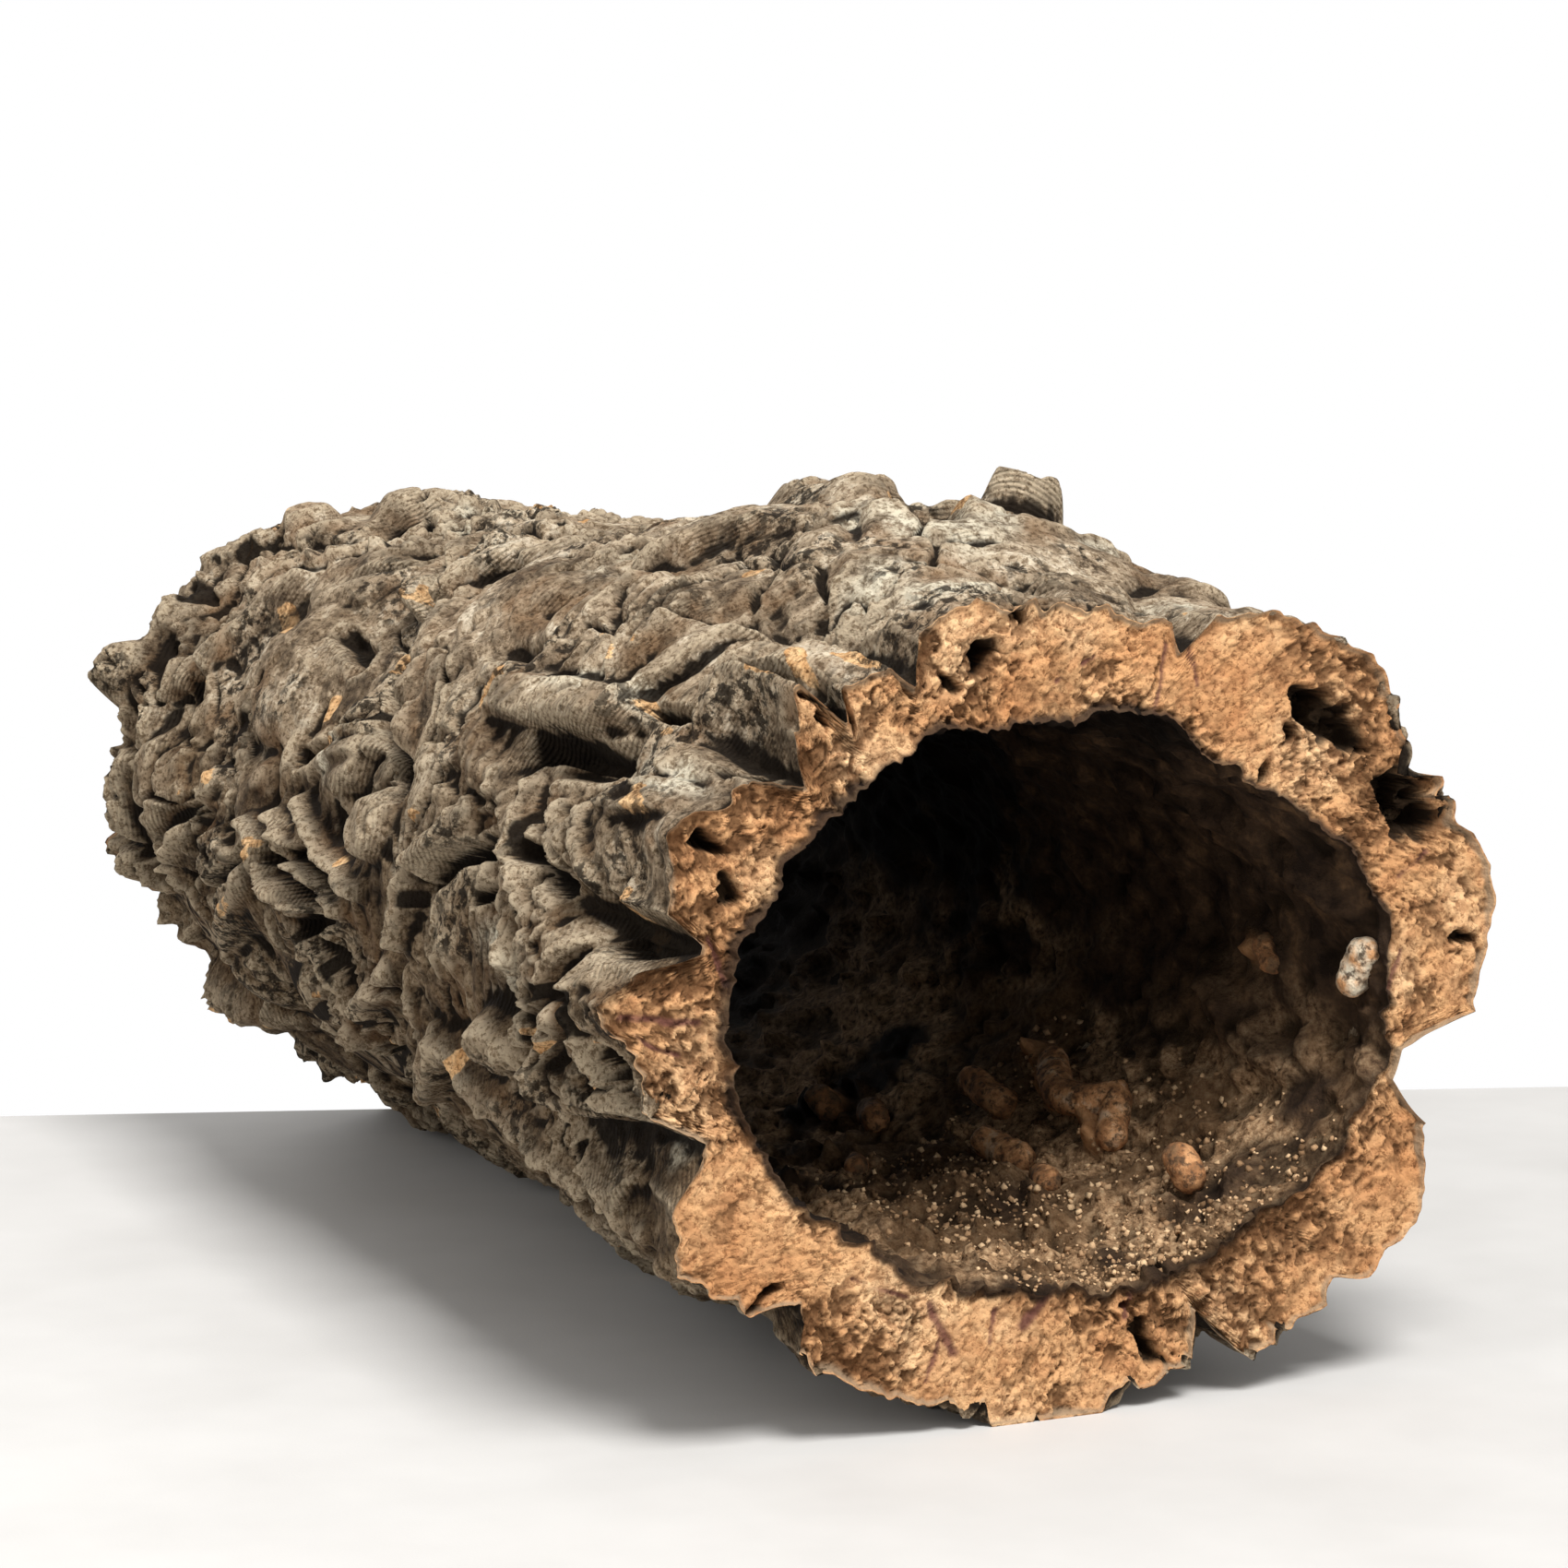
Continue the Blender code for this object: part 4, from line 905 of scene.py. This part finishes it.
def rim_faces(fine, coarse):
    """Triangles between a fine border and the coarse one behind it, both closed loops."""
    faces = []
    for step, a in enumerate(coarse):
        b = coarse[(step + 1) % len(coarse)]
        first = step * SKIP
        for k in range(SKIP):
            near, far = fine[first + k], fine[(first + k + 1) % len(fine)]
            faces.append((far, near, a if k < SKIP // 2 else b))
        faces.append((a, b, fine[first + SKIP // 2]))
    return faces


def make_piece(name, points, faces, normals, paint, looks, look_of_face=None):
    """A mesh object in the frame of the part, with its paint as attributes of its points."""
    places = (points + np.array((-MIDDLE_TO_RIGHT, -LENGTH / 2.0, FLOOR_DROP))) * MM
    mesh = bpy.data.meshes.new(name)
    mesh.from_pydata(places.tolist(), [], faces)
    for look in looks:
        mesh.materials.append(look)
    if look_of_face is not None:
        mesh.polygons.foreach_set("material_index", look_of_face)
    for key, values in paint.items():
        layer = mesh.attributes.new(key, "FLOAT", "POINT")
        layer.data.foreach_set("value", values.astype(np.float32))
    mesh.polygons.foreach_set("use_smooth", [True] * len(mesh.polygons))
    if normals is not None:
        mesh.normals_split_custom_set_from_vertices(normals.tolist())
    mesh.update()
    piece = bpy.data.objects.new(name, mesh)
    bpy.context.scene.collection.objects.link(piece)
    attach(piece, "root")
    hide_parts("cork_bark_tube")
    return piece


def closed_strip(name, front, normals, paint, back, wrap, look):
    """A closed piece: a fine front, a coarse hidden back and the rims between them."""
    rows, columns = front.shape[:2]
    back_rows, back_columns = back.shape[:2]
    start = rows * columns
    faces = grid_faces(rows, columns, 0, wrap, False).tolist()
    faces += grid_faces(back_rows, back_columns, start, wrap, True).tolist()
    fine_loops = borders(rows, columns, 0, wrap)
    coarse_loops = borders(back_rows, back_columns, start, wrap)
    for fine, coarse in zip(fine_loops, coarse_loops):
        faces += rim_faces(fine, coarse)
    points = np.concatenate((front.reshape(-1, 3), back.reshape(-1, 3)))
    back_normals = -normals[::SKIP, ::SKIP].reshape(-1, 3)
    all_normals = np.concatenate((normals.reshape(-1, 3), back_normals))
    hidden = np.zeros(back_rows * back_columns)
    paint = {key: np.concatenate((values.ravel(), hidden)) for key, values in paint.items()}
    return make_piece(name, points, faces, all_normals, paint, [look])


def hidden_back(angle, along):
    """The coarse back of a piece, just under the lining of the hollow."""
    turn = np.radians(angle)
    radius = hollow_radius(angle, along)
    for knot in HOLLOW_KNOTS:
        radius += np.maximum(form_height(angle, along, knot + (0.95,)), 0.0)
    radius += SKIN + lines_height(angle, along, np.zeros(angle.shape + (3,)), HOLLOW_RIDGES, 0.9)
    return np.stack((radius * np.cos(turn), along, radius * np.sin(turn)), axis=-1)


def bark_strip(name, first, last, steps_round, steps_along, look):
    """One strip of the bark, from the angle first to the angle last."""
    spare = math.degrees(OVERLAP / RELIEF_RADIUS)
    round_step = (last - first + 2.0 * spare) / steps_round
    start = BAND - OVERLAP
    along_step = (LENGTH - 2.0 * start) / steps_along
    angles = first - spare + round_step * np.arange(-MARGIN, steps_round + MARGIN + 1)
    places = start + along_step * np.arange(-MARGIN, steps_along + MARGIN + 1)
    angle, along = np.meshgrid(angles, np.clip(places, 0.0, LENGTH), indexing="ij")
    points, paint = fine_bark(angle, along, along_step)
    keep = (slice(MARGIN, -MARGIN), slice(MARGIN, -MARGIN))
    near = (slice(MARGIN - 1, 1 - MARGIN), slice(MARGIN - 1, 1 - MARGIN))
    normals = grid_normals(points[near], True)[1:-1, 1:-1]
    paint = {key: values[keep] for key, values in paint.items()}
    back = hidden_back(angle[keep][::SKIP, ::SKIP], along[keep][::SKIP, ::SKIP])
    return closed_strip(name, points[keep], normals, paint, back, False, look)


def lining_strip(name, look):
    """The lining of the hollow between the two sawn ends, finer towards the mouth."""
    angles = np.arange(-1, LINING_STEPS_ROUND + 1) * (360.0 / LINING_STEPS_ROUND)
    share = np.linspace(0.0, 1.0, LINING_STEPS_ALONG + 1)
    start = BAND - OVERLAP
    places = start + (LENGTH - 2.0 * start) * (0.42 * share + 0.58 * share ** 2.4)
    along, angle = np.meshgrid(places, angles, indexing="ij")
    points, paint = fine_hollow(angle, along)
    normals = grid_normals(points, False)[:, 1:-1]
    paint = {key: values[:, 1:-1] for key, values in paint.items()}
    back = hidden_back(angle[::SKIP, 1:-1:SKIP], along[::SKIP, 1:-1:SKIP])
    return closed_strip(name, points[:, 1:-1], normals, paint, back, True, look)


def sawn_end(name, steps, far, voids, veins, looks):
    """A sawn end: a band of bark, the rim, the cut across the wall and a band of lining."""
    steps_round, band_step, steps_face = steps
    edge, inward = (LENGTH, -1.0) if far else (0.0, 1.0)
    count = round(BAND / band_step)
    angles = np.arange(-MARGIN, steps_round + MARGIN) * (360.0 / steps_round)
    away = band_step * np.arange(count + MARGIN, -1, -1)
    along, angle = np.meshgrid(edge + inward * away, angles, indexing="ij")
    bark, bark_paint = fine_bark(angle, along, band_step)
    middle = slice(MARGIN - 1, 1 - MARGIN)
    rows = MARGIN + count - np.array([0, 1, 2, 3, 4, 5, 6, 7, 9, 11, 13, 15, 18, 21, 25][::-1])
    rows = rows[rows >= MARGIN] if not far else np.arange(MARGIN, MARGIN + count + 1)
    rows = np.concatenate(([rows[0] - 1], rows))
    bark = bark[rows][:, middle]
    bark_paint = {key: values[rows][:, middle] for key, values in bark_paint.items()}
    along = (edge + inward * away)[rows][::-1]
    along, angle = np.meshgrid(along, angles[middle], indexing="ij")
    lining, lining_paint = fine_hollow(angle, along)
    outer, inner = bark[-1:], lining[:1]
    share = (np.arange(1, steps_face) / steps_face)[:, None]
    face = outer * (1.0 - share[..., None]) + inner * share[..., None]
    wall = np.linalg.norm(outer - inner, axis=-1)
    depth, face_paint = face_relief(face[..., 0], face[..., 2], share, wall, voids, veins)
    face[..., 1] += inward * depth
    rings = np.concatenate((bark, face, lining))
    normals = grid_normals(rings, True)[1:-1, 1:-1]
    if (normals[0, :, 0] * rings[1, 1:-1, 0] + normals[0, :, 2] * rings[1, 1:-1, 2]).mean() < 0.0:
        normals *= -1.0
    paint = {}
    for values, before, behind in ((bark_paint, 0, len(face) + len(lining)),
                                   (face_paint, len(bark), len(lining)),
                                   (lining_paint, len(bark) + len(face), 0)):
        for key, field in values.items():
            whole = np.pad(field, ((before, behind), (0, 0)))[1:-1, 1:-1].ravel()
            paint[key] = paint.get(key, 0.0) + whole
    rings = rings[1:-1, 1:-1]
    faces = grid_faces(len(rings), steps_round, 0, True, far)
    number = np.arange(steps_round)
    after = (number + 1) % steps_round
    last = (len(rings) - 1) * steps_round
    closing = np.stack((last + number, last + after, after, number), axis=-1)
    faces = np.concatenate((faces, closing[:, ::-1] if far else closing))
    ring_of_face = np.repeat(np.arange(len(rings)), steps_round)
    rim = len(bark) - 2
    kind = np.where(ring_of_face < rim, 0, np.where(ring_of_face < rim + steps_face, 1, 2))
    return make_piece(name, rings.reshape(-1, 3), faces.tolist(), normals.reshape(-1, 3), paint, looks, kind)


def spots_along(reach, gaps, knots):
    """Places on a bent line through the knots, at the given distances from its start."""
    return np.stack([np.interp(reach, gaps, knots[:, axis]) for axis in range(3)], axis=-1)


def nodules(name, look):
    """Rounded nodules of cork that stand on the floor and the wall of the hollow."""
    points, faces, tones = [], [], []
    around = np.radians(np.arange(NODULE_SIDES) * (360.0 / NODULE_SIDES))
    for number, (radius, lift, tone, *path) in enumerate(NODULES):
        angle, along = np.array(path).T
        depth = hollow_radius(angle[:, None], along[:, None])[:, 0] - lift
        turn = np.radians(angle)
        knots = np.stack((depth * np.cos(turn), along, depth * np.sin(turn)), axis=-1)
        gaps = np.concatenate(([0.0], np.cumsum(np.linalg.norm(np.diff(knots, axis=0), axis=1))))
        total = gaps[-1]
        # rings crowd towards the two round ends
        share = 0.5 - 0.5 * np.cos(np.linspace(0.02, 0.98, NODULE_RINGS) * math.pi)
        reach = share * (total + 2.0 * radius) - radius
        middle = spots_along(np.clip(reach, 0.0, total), gaps, knots)
        ahead = spots_along(np.clip(reach + NEAR_STEP, 1.0, total), gaps, knots)
        behind = spots_along(np.clip(reach - NEAR_STEP, 0.0, total - 1.0), gaps, knots)
        way = ahead - behind
        way /= np.linalg.norm(way, axis=1)[:, None]
        beyond = np.where(reach < 0.0, reach, np.where(reach > total, reach - total, 0.0))
        middle += way * beyond[:, None]
        side = np.cross(way, (0.0, 0.0, 1.0))
        side /= np.linalg.norm(side, axis=1)[:, None]
        up = np.cross(side, way)
        ring = np.sqrt(np.maximum(1.0 - (beyond / radius) ** 2, 0.0))
        spoke = side[:, None] * np.cos(around)[:, None] + up[:, None] * np.sin(around)[:, None]
        surface = middle[:, None] + radius * ring[:, None, None] * spoke
        bumps = 0.16 * radius * layered_noise(surface, 1.6 * radius, 700 + number, 2)
        bumps += 0.35 * layered_noise(surface, 2.2, 740 + number, 2)
        surface += bumps[..., None] * spoke * ring[:, None, None]
        start = sum(len(part) for part in points)
        points.append(surface.reshape(-1, 3))
        faces += grid_faces(NODULE_RINGS, NODULE_SIDES, start, True, True).tolist()
        faces.append([start + k for k in range(NODULE_SIDES)])
        faces.append([start + (NODULE_RINGS - 1) * NODULE_SIDES + k for k in range(NODULE_SIDES)][::-1])
        tones.append(np.full(len(points[-1]), tone))
    return make_piece(name, np.concatenate(points), faces, None, {"tone": np.concatenate(tones)}, [look])


def loose_grains(name, look):
    """Grains of cork that lie on the floor of the hollow, each a small closed crumb."""
    random = np.random.default_rng(7)
    angle = DEBRIS_ANGLE + 42.0 * (random.random(GRAINS) + random.random(GRAINS) - 1.0)
    along = 4.0 + 150.0 * random.random(GRAINS) ** 1.5
    floor, _ = fine_hollow(angle[:, None], along[:, None])
    size = 0.35 + 0.75 * random.random(GRAINS) ** 3
    corners = np.array([(x, y, z) for x in (-1, 1) for y in (-1, 1) for z in (-1, 1)], dtype=float)
    sides = np.array([(0, 1, 3, 2), (4, 6, 7, 5), (0, 4, 5, 1), (2, 3, 7, 6), (0, 2, 6, 4), (1, 5, 7, 3)])
    shape = corners[None] * (0.45 + 0.5 * random.random((GRAINS, 8, 3)))
    spin = random.normal(size=(GRAINS, 3, 3))
    spin = np.linalg.qr(spin)[0]
    spin[:, :, 0] *= np.sign(np.linalg.det(spin))[:, None]
    shape = np.einsum("gij,gcj->gci", spin, shape) * size[:, None, None]
    points = floor[:, 0][:, None] + shape
    faces = (sides[None] + 8 * np.arange(GRAINS)[:, None, None]).reshape(-1, 4)
    tone = np.repeat(random.random(GRAINS), 8)
    return make_piece(name, points.reshape(-1, 3), faces.tolist(), None, {"tone": tone}, [look])


class Finish:
    """A material under construction; most calls add one node and give its output."""

    def __init__(self, name, roughness, specular):
        self.material = bpy.data.materials.new(name)
        self.material.use_nodes = True
        self.tree = self.material.node_tree
        self.shader = self.tree.nodes["Principled BSDF"]
        self.shader.inputs["Roughness"].default_value = roughness
        self.shader.inputs["Specular IOR Level"].default_value = specular
        self.place = self.tree.nodes.new("ShaderNodeTexCoord").outputs["Object"]

    def node(self, kind, inputs, **settings):
        made = self.tree.nodes.new(kind)
        for key, value in settings.items():
            setattr(made, key, value)
        for socket, value in inputs.items():
            if isinstance(value, bpy.types.NodeSocket):
                self.tree.links.new(value, made.inputs[socket])
            else:
                made.inputs[socket].default_value = value
        return made

    def paint(self, name):
        return self.node("ShaderNodeAttribute", {}, attribute_name=name).outputs["Fac"]

    def noise(self, size, detail=3.0, rough=0.55):
        inputs = {"Vector": self.place, "Scale": 1.0 / (size * MM), "Detail": detail, "Roughness": rough}
        return self.node("ShaderNodeTexNoise", inputs).outputs["Fac"]

    def cells(self, size, feature="F1", output="Distance"):
        inputs = {"Vector": self.place, "Scale": 1.0 / (size * MM)}
        return self.node("ShaderNodeTexVoronoi", inputs, feature=feature).outputs[output]

    def math(self, operation, a, b=0.0):
        return self.node("ShaderNodeMath", {0: a, 1: b}, operation=operation).outputs[0]

    def rescale(self, value, low, high, to_low=0.0, to_high=1.0):
        inputs = {"Value": value, "From Min": low, "From Max": high, "To Min": to_low, "To Max": to_high}
        return self.node("ShaderNodeMapRange", inputs, interpolation_type="SMOOTHSTEP").outputs["Result"]

    def mix(self, share, a, b, blend="MIX"):
        made = self.node("ShaderNodeMix", {}, data_type="RGBA", blend_type=blend)
        for index, value in ((0, share), (6, a), (7, b)):
            if isinstance(value, bpy.types.NodeSocket):
                self.tree.links.new(value, made.inputs[index])
            else:
                made.inputs[index].default_value = value if index == 0 else (*value, 1.0)
        return made.outputs[2]

    def ramp(self, value, *stops):
        made = self.node("ShaderNodeValToRGB", {0: value})
        points = made.color_ramp.elements
        while len(points) < len(stops):
            points.new(0.5)
        for point, (position, colour) in zip(points, stops):
            point.position = position
            point.color = (*colour, 1.0)
        return made.outputs["Color"]

    def bump(self, height, size, normal=None):
        inputs = {"Height": height, "Distance": size * MM}
        if normal is not None:
            inputs["Normal"] = normal
        return self.node("ShaderNodeBump", inputs).outputs["Normal"]

    def done(self, colour, normal):
        self.tree.links.new(colour, self.shader.inputs["Base Color"])
        self.tree.links.new(normal, self.shader.inputs["Normal"])
        return self.material


def bark_finish():
    """Grey weathered bark with growth lines, pale crust and fresh breaks; painted shade darkens its
    crevices, pits, sides and underside, and its raised edges get a painted highlight.
    """
    f = Finish("cork_bark", 0.92, 0.15)
    hollow, proud, fresh, pale = (f.paint(name) for name in ("hollow", "proud", "fresh", "pale"))
    broad = f.math("MULTIPLY", f.noise(30.0, 3.0), 0.45)
    mottle = f.math("ADD", broad, f.math("MULTIPLY", f.noise(5.0, 8.0, 0.72), 0.55))
    colour = f.ramp(mottle, (0.38, BARK_DARK), (0.47, BARK_MIDDLE), (0.53, BARK_LIGHT), (0.61, BARK_PALE))
    warm = f.rescale(f.noise(26.0, 4.0), 0.50, 0.68, 0.0, 0.75)
    colour = f.mix(warm, colour, BARK_WARM)
    # painted shade on the sides and underside of the tube
    colour = f.mix(f.paint("side"), colour, UNDERSIDE_SHADE, "MULTIPLY")
    crust = f.math("MULTIPLY", pale, f.rescale(f.noise(5.0, 6.0, 0.7), 0.38, 0.56, 0.1, 0.9))
    colour = f.mix(crust, colour, CRUST)
    # painted highlight on the raised places of the bark
    colour = f.mix(f.math("MULTIPLY", proud, 0.65), colour, EDGE_HIGHLIGHT)
    ragged = f.rescale(f.noise(5.0, 4.0), 0.3, 0.7, -0.3, 0.3)
    fresh_share = f.rescale(f.math("ADD", fresh, ragged), 0.45, 0.65)
    fresh_tone = f.ramp(f.noise(4.0, 4.0), (0.35, FRESH_DARK), (0.6, FRESH_LIGHT))
    colour = f.mix(fresh_share, colour, fresh_tone)
    wobbly = f.math("ADD", f.paint("layer"), f.math("MULTIPLY", f.noise(5.0, 3.0), 1.6))
    lines = f.math("SINE", f.math("MULTIPLY", wobbly, 2.0 * math.pi / LINE_GAP))
    line_share = f.math("MULTIPLY", f.paint("steep"), f.rescale(f.noise(18.0, 3.0), 0.35, 0.60, 0.15, 1.0))
    dark_line = f.math("MULTIPLY", f.rescale(lines, 0.0, 0.9), line_share)
    colour = f.mix(f.math("MULTIPLY", dark_line, 0.45), colour, LINE_TONE, "MULTIPLY")
    specks = f.rescale(f.noise(1.6, 5.0, 0.75), 0.40, 0.52, 0.95, 0.0)
    colour = f.mix(specks, colour, LINE_TONE, "MULTIPLY")
    sooty_places = f.rescale(f.noise(32.0, 2.0), 0.50, 0.62)
    soot = f.math("MULTIPLY", sooty_places, f.rescale(f.noise(3.5, 5.0, 0.7), 0.46, 0.56))
    colour = f.mix(f.math("MULTIPLY", soot, 0.9), colour, SHADE_AND_SOOT_BLACK)
    # painted shade in the crevices and pits of the bark
    colour = f.mix(f.rescale(hollow, 0.05, 0.60, 0.0, 0.96), colour, SHADE_AND_SOOT_BLACK)
    normal = f.bump(f.noise(2.0, 6.0, 0.7), 1.8)
    normal = f.bump(f.math("MULTIPLY", lines, line_share), 0.22, normal)
    return f.done(colour, normal)


def cut_finish():
    """Freshly sawn cork: warm granular tan with dark veins and rims, and painted shade in its voids, between
    its grains and in fine specks.
    """
    f = Finish("cut_cork", 0.88, 0.15)
    broad = f.noise(26.0, 3.0, 0.55)
    colour = f.ramp(broad, (0.3, CUT_ORANGE), (0.5, CUT_TAN), (0.7, CUT_LIGHT))
    crumbs = f.cells(3.0, "F1", "Color")
    tone = f.node("ShaderNodeSeparateColor", {"Color": crumbs}).outputs["Red"]
    colour = f.mix(f.rescale(tone, 0.2, 1.0, 0.0, 0.5), colour, CUT_RED)
    # painted shadow: small dark specks over the sawn cork
    colour = f.mix(f.rescale(f.noise(1.6, 5.0, 0.75), 0.38, 0.50, 0.75, 0.0), colour, CUT_SPECK_SHADOW, "MULTIPLY")
    # painted shade between the grains: deeper grain is darker
    colour = f.mix(f.rescale(f.paint("grain"), 0.30, 0.85, 0.0, 0.85), colour, CUT_GRAIN_SHADE)
    colour = f.mix(f.math("MULTIPLY", f.paint("vein"), 0.85), colour, VEIN_TONE)
    colour = f.mix(f.math("MULTIPLY", f.paint("rim_out"), 0.8), colour, BARK_MIDDLE)
    colour = f.mix(f.math("MULTIPLY", f.paint("rim_in"), 0.93), colour, LINING_DARK)
    # painted shade in the cavities of the sawn face
    colour = f.mix(f.math("MULTIPLY", f.paint("void"), 0.95), colour, SHADE_AND_SOOT_BLACK)
    normal = f.bump(f.noise(1.6, 4.0, 0.6), 0.9)
    return f.done(colour, normal)


def lining_finish():
    """The dark crumbly wall of the hollow, with brown debris on its floor and orange knots; painted shade
    makes its deep, left and upper parts and its dips near black.
    """
    f = Finish("hollow_lining", 0.95, 0.1)
    colour = f.ramp(f.noise(9.0, 5.0, 0.65), (0.35, LINING_DARK), (0.55, LINING_BROWN), (0.75, LINING_WARM))
    debris = f.ramp(f.noise(2.4, 4.0, 0.7), (0.34, DEBRIS_DARK), (0.52, DEBRIS_TONE), (0.70, DEBRIS_LIGHT))
    # painted shade: the deep, left and upper wall of the hollow near black
    colour = f.mix(f.math("MULTIPLY", f.paint("deep_shade"), 0.9), colour, DEEP_SHADE_BLACK)
    debris = f.mix(f.rescale(f.noise(40.0, 3.0), 0.46, 0.60, 0.0, 0.8), debris, DEBRIS_DARK)
    colour = f.mix(f.paint("debris"), colour, debris)
    knot_tone = f.ramp(f.noise(7.0, 3.0), (0.35, KNOT_DARK), (0.6, KNOT_LIGHT))
    colour = f.mix(f.math("MULTIPLY", f.paint("knot"), 0.85), colour, knot_tone)
    # painted shade in the dips of the lining
    colour = f.mix(f.rescale(f.paint("rise"), 0.15, 0.6, 0.75, 0.0), colour, SHADE_AND_SOOT_BLACK)
    colour = f.mix(f.math("MULTIPLY", f.paint("rim_in"), 0.6), colour, LINING_DARK)
    normal = f.bump(f.noise(1.8, 5.0, 0.7), 1.6)
    return f.done(colour, normal)


def grain_finish():
    """Loose crumbs, from dark brown to pale tan."""
    f = Finish("loose_cork", 0.9, 0.1)
    colour = f.ramp(f.paint("tone"), (0.0, DEBRIS_DARK), (0.6, DEBRIS_TONE), (1.0, DEBRIS_LIGHT))
    normal = f.bump(f.noise(0.5, 2.0), 0.2)
    return f.done(colour, normal)


def nodule_finish():
    """Orange-brown nodules, one of them pale."""
    f = Finish("cork_nodule", 0.85, 0.2)
    ragged = f.math("ADD", f.paint("tone"), f.rescale(f.noise(5.0, 4.0, 0.6), 0.3, 0.7, -0.25, 0.25))
    colour = f.ramp(ragged, (0.05, LINING_WARM), (0.3, KNOT_DARK), (0.55, KNOT_LIGHT), (1.0, CRUST))
    dirt = f.rescale(f.noise(2.4, 5.0, 0.7), 0.36, 0.54, 0.9, 0.0)
    colour = f.mix(dirt, colour, LINING_BROWN)
    normal = f.bump(f.noise(1.5, 4.0, 0.6), 0.8)
    return f.done(colour, normal)


def floor_finish():
    """A plain pale floor."""
    f = Finish("pale_floor", 0.6, 0.25)
    colour = f.ramp(f.noise(60.0, 3.0), (0.3, FLOOR_DARK), (0.7, FLOOR_LIGHT))
    normal = f.bump(f.noise(0.9, 2.0), 0.05)
    return f.done(colour, normal)


def stage_floor():
    """The floor, with its far edge where the photographed table ends."""
    (x1, y1), (x2, y2) = FLOOR_EDGE
    along = Vector((x2 - x1, y2 - y1, 0.0)).normalized()
    towards = Vector((along.y, -along.x, 0.0))
    middle = Vector(((x1 + x2) / 2.0, (y1 + y2) / 2.0, 0.0))
    corners = [middle + along * side * FLOOR_SIZE + towards * depth * FLOOR_SIZE - Vector((0.0, 0.0, drop))
               for drop in (0.0, FLOOR_THICK) for side, depth in ((-1, 0), (1, 0), (1, 2), (-1, 2))]
    mesh = bpy.data.meshes.new("floor")
    faces = [(3, 2, 1, 0), (4, 5, 6, 7), (0, 1, 5, 4), (1, 2, 6, 5), (2, 3, 7, 6), (3, 0, 4, 7)]
    mesh.from_pydata([tuple(corner * MM) for corner in corners], [], faces)
    mesh.materials.append(floor_finish())
    floor = bpy.data.objects.new("floor", mesh)
    bpy.context.scene.collection.objects.link(floor)


def soft_light(name, direction, distance, size, power):
    """A square soft light that shines on the tube from the given direction."""
    light = bpy.data.lights.new(name, "AREA")
    light.size = size
    light.energy = power
    lamp = bpy.data.objects.new(name, light)
    towards = Vector(direction).normalized()
    lamp.location = towards * distance + Vector((0.0, 0.0, 0.1))
    lamp.rotation_euler = towards.to_track_quat("Z", "Y").to_euler()
    bpy.context.scene.collection.objects.link(lamp)


def studio():
    """White backdrop, soft light all round and the softboxes."""
    world = bpy.data.worlds.new("studio")
    bpy.context.scene.world = world
    world.use_nodes = True
    tree = world.node_tree
    backdrop = tree.nodes["Background"]
    backdrop.inputs["Color"].default_value = (1.0, 1.0, 1.0, 1.0)
    backdrop.inputs["Strength"].default_value = 1.0
    around = tree.nodes.new("ShaderNodeBackground")
    around.inputs["Color"].default_value = (1.0, 1.0, 1.0, 1.0)
    around.inputs["Strength"].default_value = AMBIENT
    path = tree.nodes.new("ShaderNodeLightPath")
    seen = tree.nodes.new("ShaderNodeMixShader")
    tree.links.new(path.outputs["Is Camera Ray"], seen.inputs[0])
    tree.links.new(around.outputs[0], seen.inputs[1])
    tree.links.new(backdrop.outputs[0], seen.inputs[2])
    tree.links.new(seen.outputs[0], tree.nodes["World Output"].inputs["Surface"])
    for light in LIGHTS:
        soft_light(*light)
    bpy.context.scene.view_settings.view_transform = "Standard"


def photo_camera():
    """The camera of the photograph."""
    turn, tilt = math.radians(VIEW_TURN), math.radians(VIEW_TILT)
    c, s = math.cos(turn), math.sin(turn)
    across, ahead, up = MOUTH_FROM_CAMERA
    mouth = Vector((-MIDDLE_TO_RIGHT, -LENGTH / 2.0, FLOOR_DROP))
    camera = bpy.data.objects.new("camera", bpy.data.cameras.new("camera"))
    camera.location = (mouth - Vector((across * c + ahead * s, ahead * c - across * s, up))) * MM
    look = Vector((s * math.cos(tilt), c * math.cos(tilt), -math.sin(tilt)))
    camera.rotation_euler = look.to_track_quat("-Z", "Y").to_euler()
    camera.data.sensor_width = 36.0
    camera.data.lens = LENS
    bpy.context.scene.collection.objects.link(camera)
    bpy.context.scene.camera = camera


def dress():
    """All the pieces of the tube."""
    bark, cut, lining, crumbs = bark_finish(), cut_finish(), lining_finish(), grain_finish()
    for strip in STRIPS:
        bark_strip(*strip, bark)
    looks = [bark, cut, lining]
    voids = MOUTH_VOIDS + SMALL_VOIDS
    sawn_end("sawn_mouth", MOUTH_STEPS, False, voids, VEINS, looks)
    sawn_end("sawn_far_end", FAR_STEPS, True, FAR_VOIDS, FAR_VEINS, looks)
    lining_strip("hollow_lining", lining)
    nodules("hollow_nodules", nodule_finish())
    loose_grains("loose_grains", crumbs)


dress()
stage_floor()
studio()
photo_camera()
